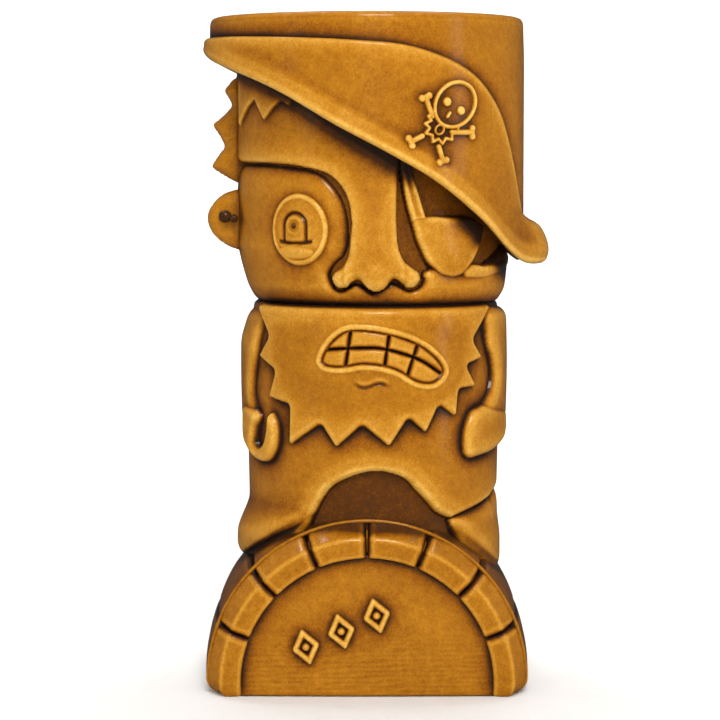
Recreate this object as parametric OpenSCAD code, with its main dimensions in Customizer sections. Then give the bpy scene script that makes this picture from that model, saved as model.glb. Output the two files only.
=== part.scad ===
// Pirate tiki mug: a hollow stoneware pot shaped as a pirate standing astride a barrel.
// The pot wall is built up of rings, and every raised detail is its own clay piece luted to
// the wall. Front is towards -Y, +Z is up, and the origin is the middle of the foot.

/* [Overall] */
// Height of the drinking rim above the top of the barrel
rim_h = 155; // [151:1:190]
// Thickness of the clay wall
wall = 4.5; // [3.5:0.1:6]
// Thickness of the floor
floor_t = 5; // [4:0.5:8]
// Sideways offset of the figure from the middle of the barrel
figure_x = 2; // [0:0.5:3]

/* [Barrel] */
// Largest diameter of the barrel, half way along it
barrel_d = 104; // [98:1:126]
// Diameter of the barrel over its two end edges
barrel_end_d = 91; // [86:1:94]
// Length of the barrel from front to back
barrel_l = 90; // [86:1:108]
// Height of the barrel's axis above the foot
barrel_axis_z = 4; // [2:0.5:6]
// Length of the sloping bevel at each end
bevel_l = 8; // [6:1:10]
// Diameter of the sunk head inside the stave ends
barrel_head_d = 78; // [72:1:80]
// Depth that the head is sunk behind the stave ends
head_recess = 1.8; // [1:0.2:3]
// Thickness of the staves along the barrel
stave_t = 3.5; // [2.5:0.5:4.5]
// Angle from one stave to the next
stave_pitch = 23; // [21:0.5:24]
// Groove between two staves, as an angle
stave_groove = 1; // [0.4:0.2:2]
// Slope of the row of marks on the barrel head
mark_slope = 24; // [0:2:30]

/* [Figure] */
// Outer radius of the pot wall behind the coat
core_r = 36.5; // [30:0.1:38]
// Thickness of the coat over the pot wall
coat_t = 3.5; // [2:0.5:5]
// Height of the crease between head and coat
neck_z = 120; // [119.5:0.5:122]
// Outer radius of the pot wall in the head
head_r = 40.5; // [39:0.5:42]
// How far cheeks stand out from the head wall
cheek_t = 1.5; // [1:0.5:2]
// How far forehead and nose stand out from the head wall
brow_t = 2.6; // [2:0.2:4]
// How far arms, beard and boots stand out from the coat
limb_t = 2.6; // [2:0.2:4]
// How far small trim stands out from what it lies on
trim_t = 1.2; // [0.8:0.2:1.8]

/* [Hat] */
// Outer radius of the hat crown
crown_r = 50; // [48:0.5:60]
// How far the turned-up brim stands out from the crown
brim_t = 2; // [1:0.5:3]
// Rounding of the drinking rim
rim_r = 2; // [1:0.25:2]

/* [Hidden] */
$fn = 96;

amber = "#a8721c";
dark_amber = "#6b3c0c";
pale_amber = "#c8963a";

coat_r = core_r + coat_t;
limb_r = coat_r + limb_t;
cheek_r = head_r + cheek_t;
brow_r = head_r + brow_t;
brim_r = crown_r + brim_t;
cavity_r = core_r - wall;
barrel_head_r = barrel_head_d / 2;
// Longer than the whole mug, for cuts that go right through
big = rim_h + barrel_d;
stave_count = 8;
// How much the barrel narrows from its middle to the bevels
barrel_fall = 1.5;
bead_line_r = 0.6;
// The figure is drawn as it stands on a barrel whose top is at this height, and rises with the barrel
drawn_barrel_top = 56;
lift = barrel_d / 2 + barrel_axis_z - drawn_barrel_top;
rim_z = drawn_barrel_top + rim_h;
// Outlines are drawn for these wall radii, and widen with the walls
drawn_coat_r = 40;
drawn_head_r = 40.5;
drawn_crown_r = 50;
// Height of the ledge that carries the head on the torso wall
ledge_h = 4;
// Half width of the crease between head and coat
crease = 0.7;

// ---- curves and outlines, seen from the front as [x, z] ----

function spline_point(a, b, c, d, t) =
    0.5 * (2 * b + (c - a) * t + (2 * a - 5 * b + 4 * c - d) * t * t
    + (3 * b - a - 3 * c + d) * t * t * t);
function closed_curve(p, steps = 4) = [for (i = [0:len(p) - 1], s = [0:steps - 1])
    spline_point(p[(i - 1 + len(p)) % len(p)], p[i], p[(i + 1) % len(p)],
        p[(i + 2) % len(p)], s / steps)];
function open_curve(p, steps = 4) = concat([for (i = [0:len(p) - 2], s = [0:steps - 1])
    spline_point(p[max(i - 1, 0)], p[i], p[i + 1], p[min(i + 2, len(p) - 1)], s / steps)],
    [p[len(p) - 1]]);
function unit(v) = v / norm(v);
// Moves an outline that is drawn clockwise inwards by a width
function inset(p, by) = [for (i = [0:len(p) - 1])
    let (along = unit(p[(i + 1) % len(p)] - p[(i - 1 + len(p)) % len(p)]))
    p[i] + by * [along[1], -along[0]]];
function oval(centre, half_w, half_h) = [for (a = [0:12:348])
    centre + [half_w * cos(a), half_h * sin(a)]];
function turned(p, a) = [for (q = p) [q[0] * cos(a) - q[1] * sin(a), q[0] * sin(a) + q[1] * cos(a)]];
function moved(p, by) = [for (q = p) q + by];
function widened(p, ratio) = [for (q = p) [q[0] * ratio, q[1]]];
function on_coat(p) = widened(p, coat_r / drawn_coat_r);
function on_head(p) = widened(p, head_r / drawn_head_r);
function on_hat(p) = widened(p, crown_r / drawn_crown_r);

// Lower edge of the hat, from its left tip to its right tip
hat_lower_edge = on_hat(open_curve([[-51.5, 203], [-51, 199.5], [-45.5, 196], [-27.5, 187.5],
    [-9.5, 176.5], [6, 167.5], [21, 158], [34.5, 146.5], [43, 135.5], [46, 130.5]]));
// The tip that stands out on the right
hat_right_tip = on_hat(open_curve([[46, 130.5], [52.5, 131], [57, 133.5], [58, 137], [56.5, 141.5],
    [50.5, 147]]));
// Upper edge of the turned-up brim, from right to left
hat_brim_edge = on_hat(open_curve([[50, 148.5], [45, 168.5], [40, 183.5], [30.5, 194], [14, 200.5],
    [-5, 202.3], [-35, 203.7], [-49, 204.5]]));

// Opening between the legs, under the coat
leg_arch = on_coat(concat(open_curve([[-26, 42], [-19.5, 52], [-17, 59], [-13, 65], [-2, 69],
    [8, 68], [15, 62], [21, 55.5]]), [[24, 52], [24, 38]]));

beard_outline = on_coat([[-37, 119.3], [-33, 110.5], [-36, 104.5], [-31, 100], [-33, 92], [-26.5, 89.5],
    [-26.5, 77.5], [-16.5, 84], [-12, 77.5], [-3.5, 84], [5, 78], [11, 86], [16.5, 82], [20.5, 89.5],
    [26, 86.5], [27, 94.5], [32.5, 95.5], [29.5, 102], [34.5, 104], [31.5, 110], [37.5, 119.3]]);
mouth_outline = on_coat(closed_curve([[-16.5, 105], [-13, 111], [-7, 114.5], [4, 113.5], [14, 110],
    [20.5, 104.5], [22, 100], [18.5, 96.5], [13, 97], [6, 101], [-2.5, 102.5], [-9.5, 101.5], [-15, 102]]));
// Line where upper and lower teeth meet
bite_line = on_coat(open_curve([[-22, 106.5], [-15, 108], [-2.5, 108.5], [4, 108], [13.5, 105], [20, 100.5], [26, 96]]));
// Gaps between teeth: where each one crosses the top and the bottom of the mouth
tooth_gaps = coat_r / drawn_coat_r * [[-24, -24], [-7, -9], [5, 3], [15, 10.5], [30, 26]];
tooth_gap = 0.6;
mouth_top_z = 114;
mouth_bottom_z = 100;
mouth_rim_w = 1.5;

nose_right_side = on_head([[14, 131], [14, 127], [10.5, 125], [6, 127.5], [3, 124.5], [-1, 124.5], [-5, 127.8],
    [-9, 125.5], [-13, 127], [-13, 131.5]]);
forehead_outline = concat(on_head(concat([[-50, 165], [-28.5, 164.5], [-16.5, 163]],
    open_curve([[-12.5, 161.5], [-8.5, 157], [-6.5, 148], [-7.5, 137.5], [-9.5, 133.5]]))),
    [for (i = [len(nose_right_side) - 1:-1:0]) nose_right_side[i]],
    on_head(concat(open_curve([[10, 133.5], [7.5, 141], [7, 150], [8.5, 166]]), [[8.5, 200], [-50, 200]])));
left_cheek_outline = on_head(closed_curve([[-52, 160], [-30, 161], [-17, 158.5], [-11, 150], [-10, 142], [-11.5, 136],
    [-15, 131], [-15.5, 126], [-20, 122.7], [-52, 122.7]]));
right_cheek_outline = on_head(closed_curve([[12, 158], [10.5, 145], [11, 137], [16, 131], [16.5, 126], [21, 122.7],
    [52, 122.7], [52, 160], [30, 165]]));

eye_centre = [-23 * head_r / drawn_head_r, 144.5];
eye_half_w = 9;
eye_half_h = 11;
eye_rim_w = 1.6;
iris_centre = eye_centre + [-0.9, 1.5];
iris_r = 3.7;
iris_leg = 4;
pupil_r = 1.1;
lid_drop = 4.6;
lid_half_w = 5;
lid_h = 1.2;

patch_outline = on_head([[13, 147.5], [30.5, 147], [35, 144], [33.5, 139.5], [30.5, 132.5], [28.5, 129.8],
    [25, 129], [20.5, 129.6], [16, 134.5], [13.7, 140.5]]);
strap_outline = on_head(concat(open_curve([[17, 148], [14.5, 154.5], [12.5, 161.5], [12, 172]]),
    open_curve([[7.5, 172], [9.3, 160], [10.8, 153], [13, 148]])));
lower_strap_outline = on_head([[31.5, 133.6], [35.5, 132], [50, 133.5], [50, 129.5], [35.5, 128.5], [29.5, 129.9]]);

// The coat's front outline down to the hem, before the leg arch is cut
coat_outline = on_coat([[-60, neck_z - crease], [60, neck_z - crease], [60, 60], [37.5, 58], [27, 54.5], [24, 53.5],
    [20, 53.5], [-16, 58], [-30, 60.5], [-60, 62]]);
// The coat's tails behind, with a vent between them
coat_tail_outline = on_coat([[-60, neck_z], [60, neck_z], [60, 60], [40, 59], [36, 46], [3, 40], [0, 62], [-3, 40], [-35, 46],
    [-38, 60], [-60, 62]]);
left_leg_outline = on_coat([[-60, 62], [-30, 60.5], [-16, 58], [-20, 52], [-25, 48], [-60, 54]]);
left_boot_outline = on_coat(concat([[-60, 54], [-25, 48]],
    open_curve([[-23.5, 46.5], [-26.5, 44.5], [-30, 41.5], [-34, 37]]), [[-60, 37]]));
right_boot_outline = on_coat(concat([[24, 53.5], [27, 54.5], [37.5, 58], [60, 60], [60, 37], [36, 37]],
    open_curve([[33, 40], [28.5, 44.5], [25.5, 50]])));

heel_y = 16;

left_arm_inner_edge = on_coat(open_curve([[-36, 119.3], [-37, 109], [-38.5, 99], [-39, 92], [-37.5, 86]]));
right_arm_inner_edge = on_coat(open_curve([[37, 119.3], [36.5, 109], [39, 102], [38.5, 93.5], [35, 89.5], [31, 87.2]]));
// Hand side of each arm and the side view limits of the sleeves, as [y, z]
sleeve_side = closed_curve([[-60, 119.5], [9, 119.5], [13, 112], [13, 100], [8, 88], [-4, 80], [-60, 80]], 3);
hook_outline = on_coat(closed_curve([[-44, 86.5], [-37.5, 86], [-35.5, 84], [-38.3, 80.5], [-39, 76], [-36.5, 74.2],
    [-34.3, 76.5], [-33.6, 81], [-32.3, 84.3], [-30.5, 81], [-30.7, 76], [-34.5, 71.8], [-40, 73],
    [-42.5, 77], [-44.5, 80]], 3));
hand_outline = on_coat([[31, 87.2], [28.9, 83], [28.3, 78], [29, 74], [31, 72.8], [38.5, 74], [46, 76], [46, 88],
    [34, 88.6]]);

hair_fringe_outline = on_head([[-50, 182], [-39.5, 181], [-38, 183.5], [-34.5, 178], [-31.5, 181.5], [-29, 182.7],
    [-27, 181.3], [-24.5, 184], [-24.5, 200], [-50, 200]]);
left_hair_outline = on_head([[-36, 196], [-42, 193.5], [-47.5, 187.5], [-44.5, 182.5], [-51, 176.5], [-47.5, 170.5],
    [-51.8, 164], [-43, 157.5], [-36, 157.5]]);
hair_front_y = -4;
hair_back_y = 9;
back_hair_z = 152;
back_hair_tooth = 12;

ear_outline = on_head(concat([[-36, 156]], open_curve([[-42.5, 156], [-49.5, 153.8], [-52.5, 148], [-50.5, 142.5],
    [-43, 137.8]]), [[-36, 138]]));
ear_front_y = -7;
ear_back_y = 5;
bead_r = 2;
bead_at = [-46.5 * head_r / drawn_head_r, 148];
small_bead_r = 1.2;
small_bead_at = bead_at + [3.3, -0.4];

emblem_centre = [22 * crown_r / drawn_crown_r, 174];
emblem_turn = -30;
skull_r = 6.2;
skull_up = 11.6;
bone_half_l = 10.5;
bone_r = 1.2;
bone_knob_r = 1.7;
bone_slope = 36;

mark_pitch = 12;
mark_half_w = 4.2;
mark_half_h = 5.6;
mark_line_w = 1.4;
mark_dot_r = 1.3;
mark_mid = [-8, 20.5];

// ---- building blocks ----

module as_seen_from_front() rotate([90, 0, 0]) translate([0, 0, -big / 2]) linear_extrude(big) children();
module front_half() rotate([90, 0, 0]) linear_extrude(big) children();
module back_half() mirror([0, 1, 0]) front_half() children();
module as_seen_from_side() rotate([90, 0, 90]) translate([0, 0, -big / 2]) linear_extrude(big) children();
module on_figure() translate([figure_x, 0, lift]) children();
module on_top() translate([0, 0, lift]) children();

module tube(outer, inner, z0, z1) translate([0, 0, z0]) difference() {
    cylinder(r = outer, h = z1 - z0);
    translate([0, 0, -1]) cylinder(r = inner, h = z1 - z0 + 2);
}

// A piece of relief laid on a round wall: its front outline cut out of a tube
module relief(outer, inner, z0, z1) intersection() {
    tube(outer, inner, z0, z1);
    front_half() children();
}

// Everything the hat covers, in front view, moved up by a height
module hat_cover(up = 0) translate([0, up]) polygon(concat(hat_lower_edge,
    [[big, 130.5], [big, big * 2], [-big, big * 2], [-big, 203]]));
module below_hat() difference() {
    children();
    translate([-figure_x, 0]) hat_cover();
}

// ---- barrel: bodies turned about the barrel's axis, which runs front to back ----

// Outer line of the staves, as [radius, distance along the barrel]
function barrel_line(shrink = 0) = let (r1 = barrel_d / 2 - shrink, r0 = barrel_end_d / 2 - shrink,
    shoulder = barrel_l / 2 - bevel_l)
    concat([[r0, -barrel_l / 2]], [for (i = [-6:6]) let (u = i / 6) [r1 - barrel_fall * u * u, shoulder * u]],
    [[r0, barrel_l / 2]]);

module turned_about_barrel(from = -90, to = 270) translate([0, 0, barrel_axis_z]) rotate([90, 0, 0])
    rotate([0, 0, from]) rotate_extrude(angle = to - from) children();
module above_foot() intersection() {
    children();
    translate([-big / 2, -big / 2, 0]) cube([big, big, big]);
}
module barrel_solid(shrink = 0) turned_about_barrel() polygon(concat([[0, -barrel_l / 2]],
    barrel_line(shrink), [[0, barrel_l / 2]]));
// The pot wall stops this far inside the stave ends
core_end = barrel_l / 2 - 5;
module core_solid(shrink) intersection() {
    barrel_solid(shrink);
    translate([-big / 2, -core_end, -big / 2]) cube([big, 2 * core_end, big]);
}

module barrel_stave(n) color(n % 2 == 0 ? amber : pale_amber) above_foot() difference() {
    first = 90 + stave_pitch * (n - stave_count / 2);
    lower = n == 0 ? -20 : first;
    upper = n == stave_count - 1 ? 200 : first + stave_pitch;
    turned_about_barrel(lower + stave_groove / 2, upper - stave_groove / 2) difference() {
        polygon(concat([[barrel_head_r, -barrel_l / 2]], barrel_line(), [[barrel_head_r, barrel_l / 2]]));
        intersection() {
            polygon(concat([[0, -barrel_l / 2]], barrel_line(stave_t), [[0, barrel_l / 2]]));
            translate([0, -core_end]) square([big, 2 * core_end]);
        }
    }
    on_figure() cylinder(r = core_r, h = big);
}

module barrel_core() color(dark_amber) above_foot() difference() {
    core_solid(stave_t);
    core_solid(stave_t + wall);
    on_figure() cylinder(r = cavity_r, h = big);
}

module base_floor() color(amber) intersection() {
    core_solid(stave_t + wall);
    translate([-big / 2, -big / 2, 0]) cube([big, big, floor_t]);
}

module barrel_head(end) color(amber) above_foot()
    translate([0, end * (barrel_l / 2 - head_recess), barrel_axis_z]) rotate([end * 90, 0, 0])
        cylinder(r = barrel_head_r, h = barrel_l / 2 - head_recess - core_end);

// A fine bead round the barrel, where the bevel of the stave ends begins
module bead_ring(end) turned_about_barrel()
    translate([barrel_d / 2 - barrel_fall, end * (barrel_l / 2 - bevel_l)]) circle(r = bead_line_r, $fn = 24);
module barrel_bead(end) color(pale_amber) above_foot() difference() {
    bead_ring(end);
    barrel_solid();
}

// One of three plain lozenges in relief on the front head
module barrel_mark(n) color(pale_amber) {
    at = mark_mid + (n - 1) * mark_pitch * [cos(mark_slope), sin(mark_slope)];
    face = barrel_l / 2 - head_recess;
    translate([at[0], -face, at[1]]) rotate([90, 0, 0]) {
        linear_extrude(head_recess) rotate(mark_slope - 10) difference() {
            polygon([[0, mark_half_h], [-mark_half_w, 0], [0, -mark_half_h], [mark_half_w, 0]]);
            polygon([[0, mark_half_h - 1.4 * mark_line_w], [-mark_half_w + mark_line_w, 0],
                [0, -mark_half_h + 1.4 * mark_line_w], [mark_half_w - mark_line_w, 0]]);
        }
        cylinder(r = mark_dot_r, h = head_recess);
    }
}

// ---- body ----

module torso_wall() color(dark_amber) difference() {
    on_figure() tube(core_r, cavity_r, barrel_axis_z - lift, neck_z);
    core_solid(stave_t);
}

module on_barrel() difference() {
    on_figure() children();
    barrel_solid();
    for (end = [-1, 1]) bead_ring(end);
}
// The room that legs and boots take up at the sides, as far back as their heels
module leg_room() intersection() {
    as_seen_from_front() {
        polygon(left_leg_outline);
        polygon(left_boot_outline);
        polygon(right_boot_outline);
    }
    translate([-big / 2, -big / 2, 0]) cube([big, big / 2 + heel_y, big]);
}

module coat() color(amber) on_barrel() union() {
    relief(coat_r, core_r, 0, neck_z) difference() {
        polygon(coat_outline);
        polygon(leg_arch);
    }
    difference() {
        intersection() {
            tube(coat_r, core_r, 0, neck_z - crease);
            back_half() polygon(coat_tail_outline);
        }
        leg_room();
    }
}

// Legs and boots wrap round the sides of the pot as far back as their heels
module leg_piece(outer) color(amber) on_barrel() intersection() {
    tube(outer, core_r, 0, neck_z);
    as_seen_from_front() difference() {
        children();
        polygon(leg_arch);
    }
    translate([-big / 2, -big / 2, 0]) cube([big, big / 2 + heel_y, big]);
}
module left_leg() leg_piece(coat_r + limb_t / 2) polygon(left_leg_outline);
module left_boot() leg_piece(limb_r) polygon(left_boot_outline);
module right_boot() leg_piece(limb_r) polygon(right_boot_outline);

// A sleeve lies on the coat between its inner edge in front and its side view behind
module sleeve(edge, side) color(amber) on_figure() intersection() {
    tube(limb_r, coat_r, 80, neck_z - crease);
    as_seen_from_front() difference() {
        polygon(concat(edge, [[side * big, 60], [side * big, neck_z]]));
        polygon(beard_outline);
    }
    as_seen_from_side() polygon(sleeve_side);
}
module left_arm() difference() {
    sleeve(left_arm_inner_edge, -1);
    on_figure() front_half() polygon(hook_outline);
}
module hook() color(dark_amber) on_figure() relief(limb_r, coat_r, 60, neck_z) polygon(hook_outline);
module right_arm() difference() {
    sleeve(right_arm_inner_edge, 1);
    on_figure() front_half() polygon(hand_outline);
}
module right_hand() color(amber) on_figure() relief(limb_r, coat_r, 60, neck_z) polygon(hand_outline);

module beard() color(amber) on_figure() relief(limb_r, coat_r, 60, neck_z) polygon(beard_outline);
module mouth_rim() color(pale_amber) on_figure() relief(limb_r + trim_t, limb_r, 80, neck_z) difference() {
    polygon(inset(mouth_outline, -mouth_rim_w));
    polygon(mouth_outline);
}
// Where a gap between teeth stands at a share of the mouth's height, past both ends of it
function crossing(gap, t) = gap[1] + (gap[0] - gap[1]) * t;
module tooth(n) color(pale_amber) on_figure() relief(limb_r + trim_t, limb_r, 80, neck_z) {
    left_gap = tooth_gaps[n % 4];
    right_gap = tooth_gaps[n % 4 + 1];
    up = n < 4 ? 1 : -1;
    span = mouth_top_z - mouth_bottom_z;
    intersection() {
        polygon(inset(mouth_outline, tooth_gap));
        polygon([[crossing(left_gap, -1) + tooth_gap / 2, mouth_bottom_z - span],
            [crossing(right_gap, -1) - tooth_gap / 2, mouth_bottom_z - span],
            [crossing(right_gap, 2) - tooth_gap / 2, mouth_top_z + span],
            [crossing(left_gap, 2) + tooth_gap / 2, mouth_top_z + span]]);
        polygon(concat(moved(bite_line, [0, up * tooth_gap / 2]), [[60, up > 0 ? 150 : 60], [-60, up > 0 ? 150 : 60]]));
    }
}

// ---- head ----

module head_wall() color(dark_amber) on_figure() difference() {
    translate([0, 0, neck_z]) cylinder(r = head_r, h = big);
    translate([0, 0, neck_z + ledge_h]) cylinder(r = head_r - wall, h = big);
    translate([0, 0, neck_z - 1]) cylinder(r = cavity_r, h = big);
    translate([-figure_x, 0, 0]) as_seen_from_front() hat_cover(wall);
}
module face_relief(inner, outer) on_figure() relief(outer, inner, neck_z + crease, rim_z) below_hat() children();

module forehead_and_nose() color(amber) face_relief(head_r, brow_r) polygon(forehead_outline);
module left_cheek() color(amber) face_relief(head_r, cheek_r) difference() {
    polygon(left_cheek_outline);
    polygon(forehead_outline);
    polygon(ear_outline);
}
module right_cheek() color(amber) face_relief(head_r, cheek_r) difference() {
    polygon(right_cheek_outline);
    polygon(forehead_outline);
    polygon(strap_outline);
}

module eye_rim() color(pale_amber) face_relief(cheek_r, cheek_r + trim_t) difference() {
    polygon(oval(eye_centre, eye_half_w, eye_half_h));
    polygon(oval(eye_centre, eye_half_w - eye_rim_w, eye_half_h - eye_rim_w));
}
module iris_shape() translate(iris_centre) union() {
    circle(r = iris_r);
    translate([-iris_r, -iris_leg]) square([2 * iris_r, iris_leg]);
}
module lid_shape() translate(iris_centre) translate([-lid_half_w, -lid_drop - lid_h / 2]) square([2 * lid_half_w, lid_h]);
module eyeball() color(amber) face_relief(cheek_r, cheek_r + trim_t / 2) difference() {
    polygon(oval(eye_centre, eye_half_w - eye_rim_w, eye_half_h - eye_rim_w));
    iris_shape();
    lid_shape();
}
module iris() color(dark_amber) face_relief(cheek_r, cheek_r + trim_t) difference() {
    iris_shape();
    lid_shape();
    translate(iris_centre) circle(r = pupil_r);
}
module pupil() color(pale_amber) face_relief(cheek_r, cheek_r + 1.4 * trim_t) translate(iris_centre) circle(r = pupil_r);
module lower_lid() color(pale_amber) face_relief(cheek_r, cheek_r + trim_t) lid_shape();

module eye_patch() color(dark_amber) face_relief(cheek_r, cheek_r + trim_t) polygon(patch_outline);
module patch_strap() color(amber) face_relief(head_r, cheek_r + trim_t) difference() {
    polygon(strap_outline);
    polygon(patch_outline);
    polygon(forehead_outline);
}
module patch_lower_strap() color(amber) face_relief(cheek_r, cheek_r + trim_t) difference() {
    polygon(lower_strap_outline);
    polygon(patch_outline);
}

module ear_block() translate([0, ear_back_y, 0]) rotate([90, 0, 0]) linear_extrude(ear_back_y - ear_front_y)
    polygon(ear_outline);
module left_ear() color(amber) on_figure() difference() {
    ear_block();
    cylinder(r = head_r, h = big * 2);
}
module earring() color(dark_amber) on_figure() difference() {
    union() {
        translate([bead_at[0], ear_front_y, bead_at[1]]) sphere(r = bead_r);
        translate([small_bead_at[0], ear_front_y, small_bead_at[1]]) sphere(r = small_bead_r);
    }
    translate([-big, ear_front_y, 0]) cube([big, big, big * 2]);
}
module left_hair() color(amber) on_figure() difference() {
    translate([0, hair_back_y, 0]) rotate([90, 0, 0]) linear_extrude(hair_back_y - hair_front_y) below_hat()
        polygon(left_hair_outline);
    cylinder(r = brow_r, h = big * 2);
    front_half() polygon(hair_fringe_outline);
}
module hair_fringe() color(amber) face_relief(brow_r, brow_r + trim_t) polygon(hair_fringe_outline);
module back_hair() color(amber) on_figure() difference() {
    intersection() {
        tube(brow_r, head_r, back_hair_z - back_hair_tooth, rim_z);
        translate([-big / 2, 0, 0]) cube([big, big, big * 2]);
        as_seen_from_front() below_hat() polygon(concat(
            [for (i = [-4:4]) [i * back_hair_tooth, back_hair_z - (i % 2 == 0 ? back_hair_tooth / 2 : -back_hair_tooth / 3)]],
            [[big, big * 2], [-big, big * 2]]));
    }
    ear_block();
}

// ---- hat ----

module hat_crown() color(amber) on_top() difference() {
    intersection() {
        union() {
            cylinder(r = crown_r, h = rim_z - rim_r);
            translate([0, 0, rim_z - rim_r]) cylinder(r = crown_r - rim_r, h = rim_r);
            translate([0, 0, rim_z - rim_r]) rotate_extrude() translate([crown_r - rim_r, 0]) intersection() {
                circle(r = rim_r);
                square(rim_r);
            }
        }
        as_seen_from_front() hat_cover();
    }
    translate([figure_x, 0, 0]) cylinder(r = head_r, h = big * 2);
    intersection() {
        cylinder(r = crown_r - wall, h = big * 2);
        as_seen_from_front() hat_cover(wall);
    }
}
module brim_outline() polygon(concat(hat_lower_edge, hat_right_tip, hat_brim_edge));
// The two half brims meet at the right tip, which stands out past the crown
module brim_tip() intersection() {
    brim_outline();
    translate([0.84 * crown_r, 0]) square([big, big * 2]);
}
tip_half_t = 7;
module brim_half() union() {
    relief(brim_r, crown_r, 120, rim_z) brim_outline();
    difference() {
        rotate([90, 0, 0]) linear_extrude(tip_half_t) brim_tip();
        cylinder(r = crown_r, h = big * 2);
    }
}
module hat_brim_front() color(amber) on_top() brim_half();
module hat_brim_back() color(amber) on_top() mirror([0, 1, 0]) brim_half();

module emblem_place() translate(emblem_centre) rotate(emblem_turn) children();
module skull_shape() {
    translate([0, skull_up]) circle(r = skull_r);
    translate([-skull_r * 0.55, skull_up - 1.5 * skull_r]) square([skull_r * 1.1, skull_r]);
}
module emblem_skull() color(pale_amber) on_top() relief(brim_r + trim_t, brim_r, 120, rim_z) emblem_place() difference() {
    skull_shape();
    for (side = [-1, 1]) translate([side * 0.42 * skull_r, skull_up - 1]) circle(r = skull_r * 0.26);
    translate([0, skull_up - 0.65 * skull_r]) circle(r = skull_r * 0.13, $fn = 16);
}
module bone(a) rotate(a) union() {
    square([2 * bone_half_l, 2 * bone_r], center = true);
    for (end = [-1, 1], side = [-1, 1]) translate([end * bone_half_l, side * bone_r * 0.9]) circle(r = bone_knob_r, $fn = 24);
}
module emblem_bones() color(pale_amber) on_top() relief(brim_r + trim_t, brim_r, 120, rim_z) emblem_place() difference() {
    union() {
        bone(bone_slope);
        bone(-bone_slope);
    }
    skull_shape();
}

base_floor();
barrel_core();
barrel_head(-1);  // barrel_head_front
barrel_head(1);  // barrel_head_back
for (n = [0:stave_count - 1]) barrel_stave(n);
for (n = [0:2]) barrel_mark(n);
barrel_bead(-1);  // front_bead
barrel_bead(1);  // back_bead
torso_wall();
coat();
left_leg();
left_boot();
right_boot();
left_arm();
hook();
right_arm();
right_hand();
beard();
mouth_rim();
for (n = [0:7]) tooth(n);
head_wall();
forehead_and_nose();
left_cheek();
right_cheek();
eye_rim();
eyeball();
iris();
pupil();
lower_lid();
eye_patch();
patch_strap();
patch_lower_strap();
left_ear();
earring();
left_hair();
hair_fringe();
back_hair();
hat_crown();
hat_brim_front();
hat_brim_back();
emblem_skull();
emblem_bones();
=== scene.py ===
# Pirate tiki mug: the finished look of a slip-cast mug in poured honey-brown glaze.
import math

import bmesh
import bpy
import numpy as np
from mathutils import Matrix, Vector


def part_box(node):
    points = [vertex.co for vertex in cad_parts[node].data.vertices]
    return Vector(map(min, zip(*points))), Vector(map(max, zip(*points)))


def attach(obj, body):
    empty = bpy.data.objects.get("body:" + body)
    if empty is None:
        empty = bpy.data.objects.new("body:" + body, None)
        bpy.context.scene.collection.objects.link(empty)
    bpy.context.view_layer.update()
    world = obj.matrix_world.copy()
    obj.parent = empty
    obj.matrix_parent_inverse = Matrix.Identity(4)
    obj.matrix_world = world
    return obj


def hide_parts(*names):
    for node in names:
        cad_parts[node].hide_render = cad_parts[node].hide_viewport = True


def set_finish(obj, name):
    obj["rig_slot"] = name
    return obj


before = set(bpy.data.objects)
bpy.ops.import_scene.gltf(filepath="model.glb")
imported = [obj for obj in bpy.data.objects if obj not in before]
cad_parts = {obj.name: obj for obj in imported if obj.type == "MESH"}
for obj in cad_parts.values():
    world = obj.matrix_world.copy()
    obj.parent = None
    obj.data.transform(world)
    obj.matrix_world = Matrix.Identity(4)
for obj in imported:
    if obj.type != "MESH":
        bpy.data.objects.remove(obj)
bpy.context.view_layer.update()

# ---------------------------------------------------------------- barrel staves
# Eight fired-clay staves make the arch and the flanks of the barrel that the pirate stands on.
# Each is a bent plank with a bevel at its ends, luted over the pot wall and pressed at the joints.

MM = 0.001                      # every size below is in millimetres
glazed = []                     # every piece that is dipped in the glaze


def node_box(name):
    """Lowest and highest corner of a CAD node in millimetres."""
    low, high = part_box(name)
    return np.array(low) / MM, np.array(high) / MM


def take(bm, name, slot, *nodes):
    """Turns a finished bmesh in millimetres into a smooth piece that stands for those CAD nodes."""
    bmesh.ops.remove_doubles(bm, verts=bm.verts[:], dist=0.002)
    bmesh.ops.recalc_face_normals(bm, faces=bm.faces[:])
    bmesh.ops.scale(bm, vec=(MM, MM, MM), verts=bm.verts[:])
    mesh = bpy.data.meshes.new(f"{name}_clay")
    bm.to_mesh(mesh)
    bm.free()
    mesh.polygons.foreach_set("use_smooth", [True] * len(mesh.polygons))
    piece = bpy.data.objects.new(f"{name}_clay", mesh)
    bpy.context.scene.collection.objects.link(piece)
    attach(piece, "root")
    if nodes:
        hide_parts(*nodes)
    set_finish(piece, slot)
    glazed.append(piece)
    return piece


def places(bm):
    return np.array([v.co for v in bm.verts])


def put(bm, xyz):
    for v, p in zip(bm.verts, xyz):
        v.co = p


def dense(loop, step, closed=True):
    """The same line with a point at least every step."""
    loop = np.asarray(loop, float)
    ends = np.roll(loop, -1, axis=0) if closed else loop[1:]
    out = []
    for a, b in zip(loop, ends):
        n = max(1, int(math.ceil(np.linalg.norm(b - a) / step)))
        out += [a + (b - a) * k / n for k in range(n)]
    if not closed:
        out.append(loop[-1])
    return np.array(out)


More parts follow.
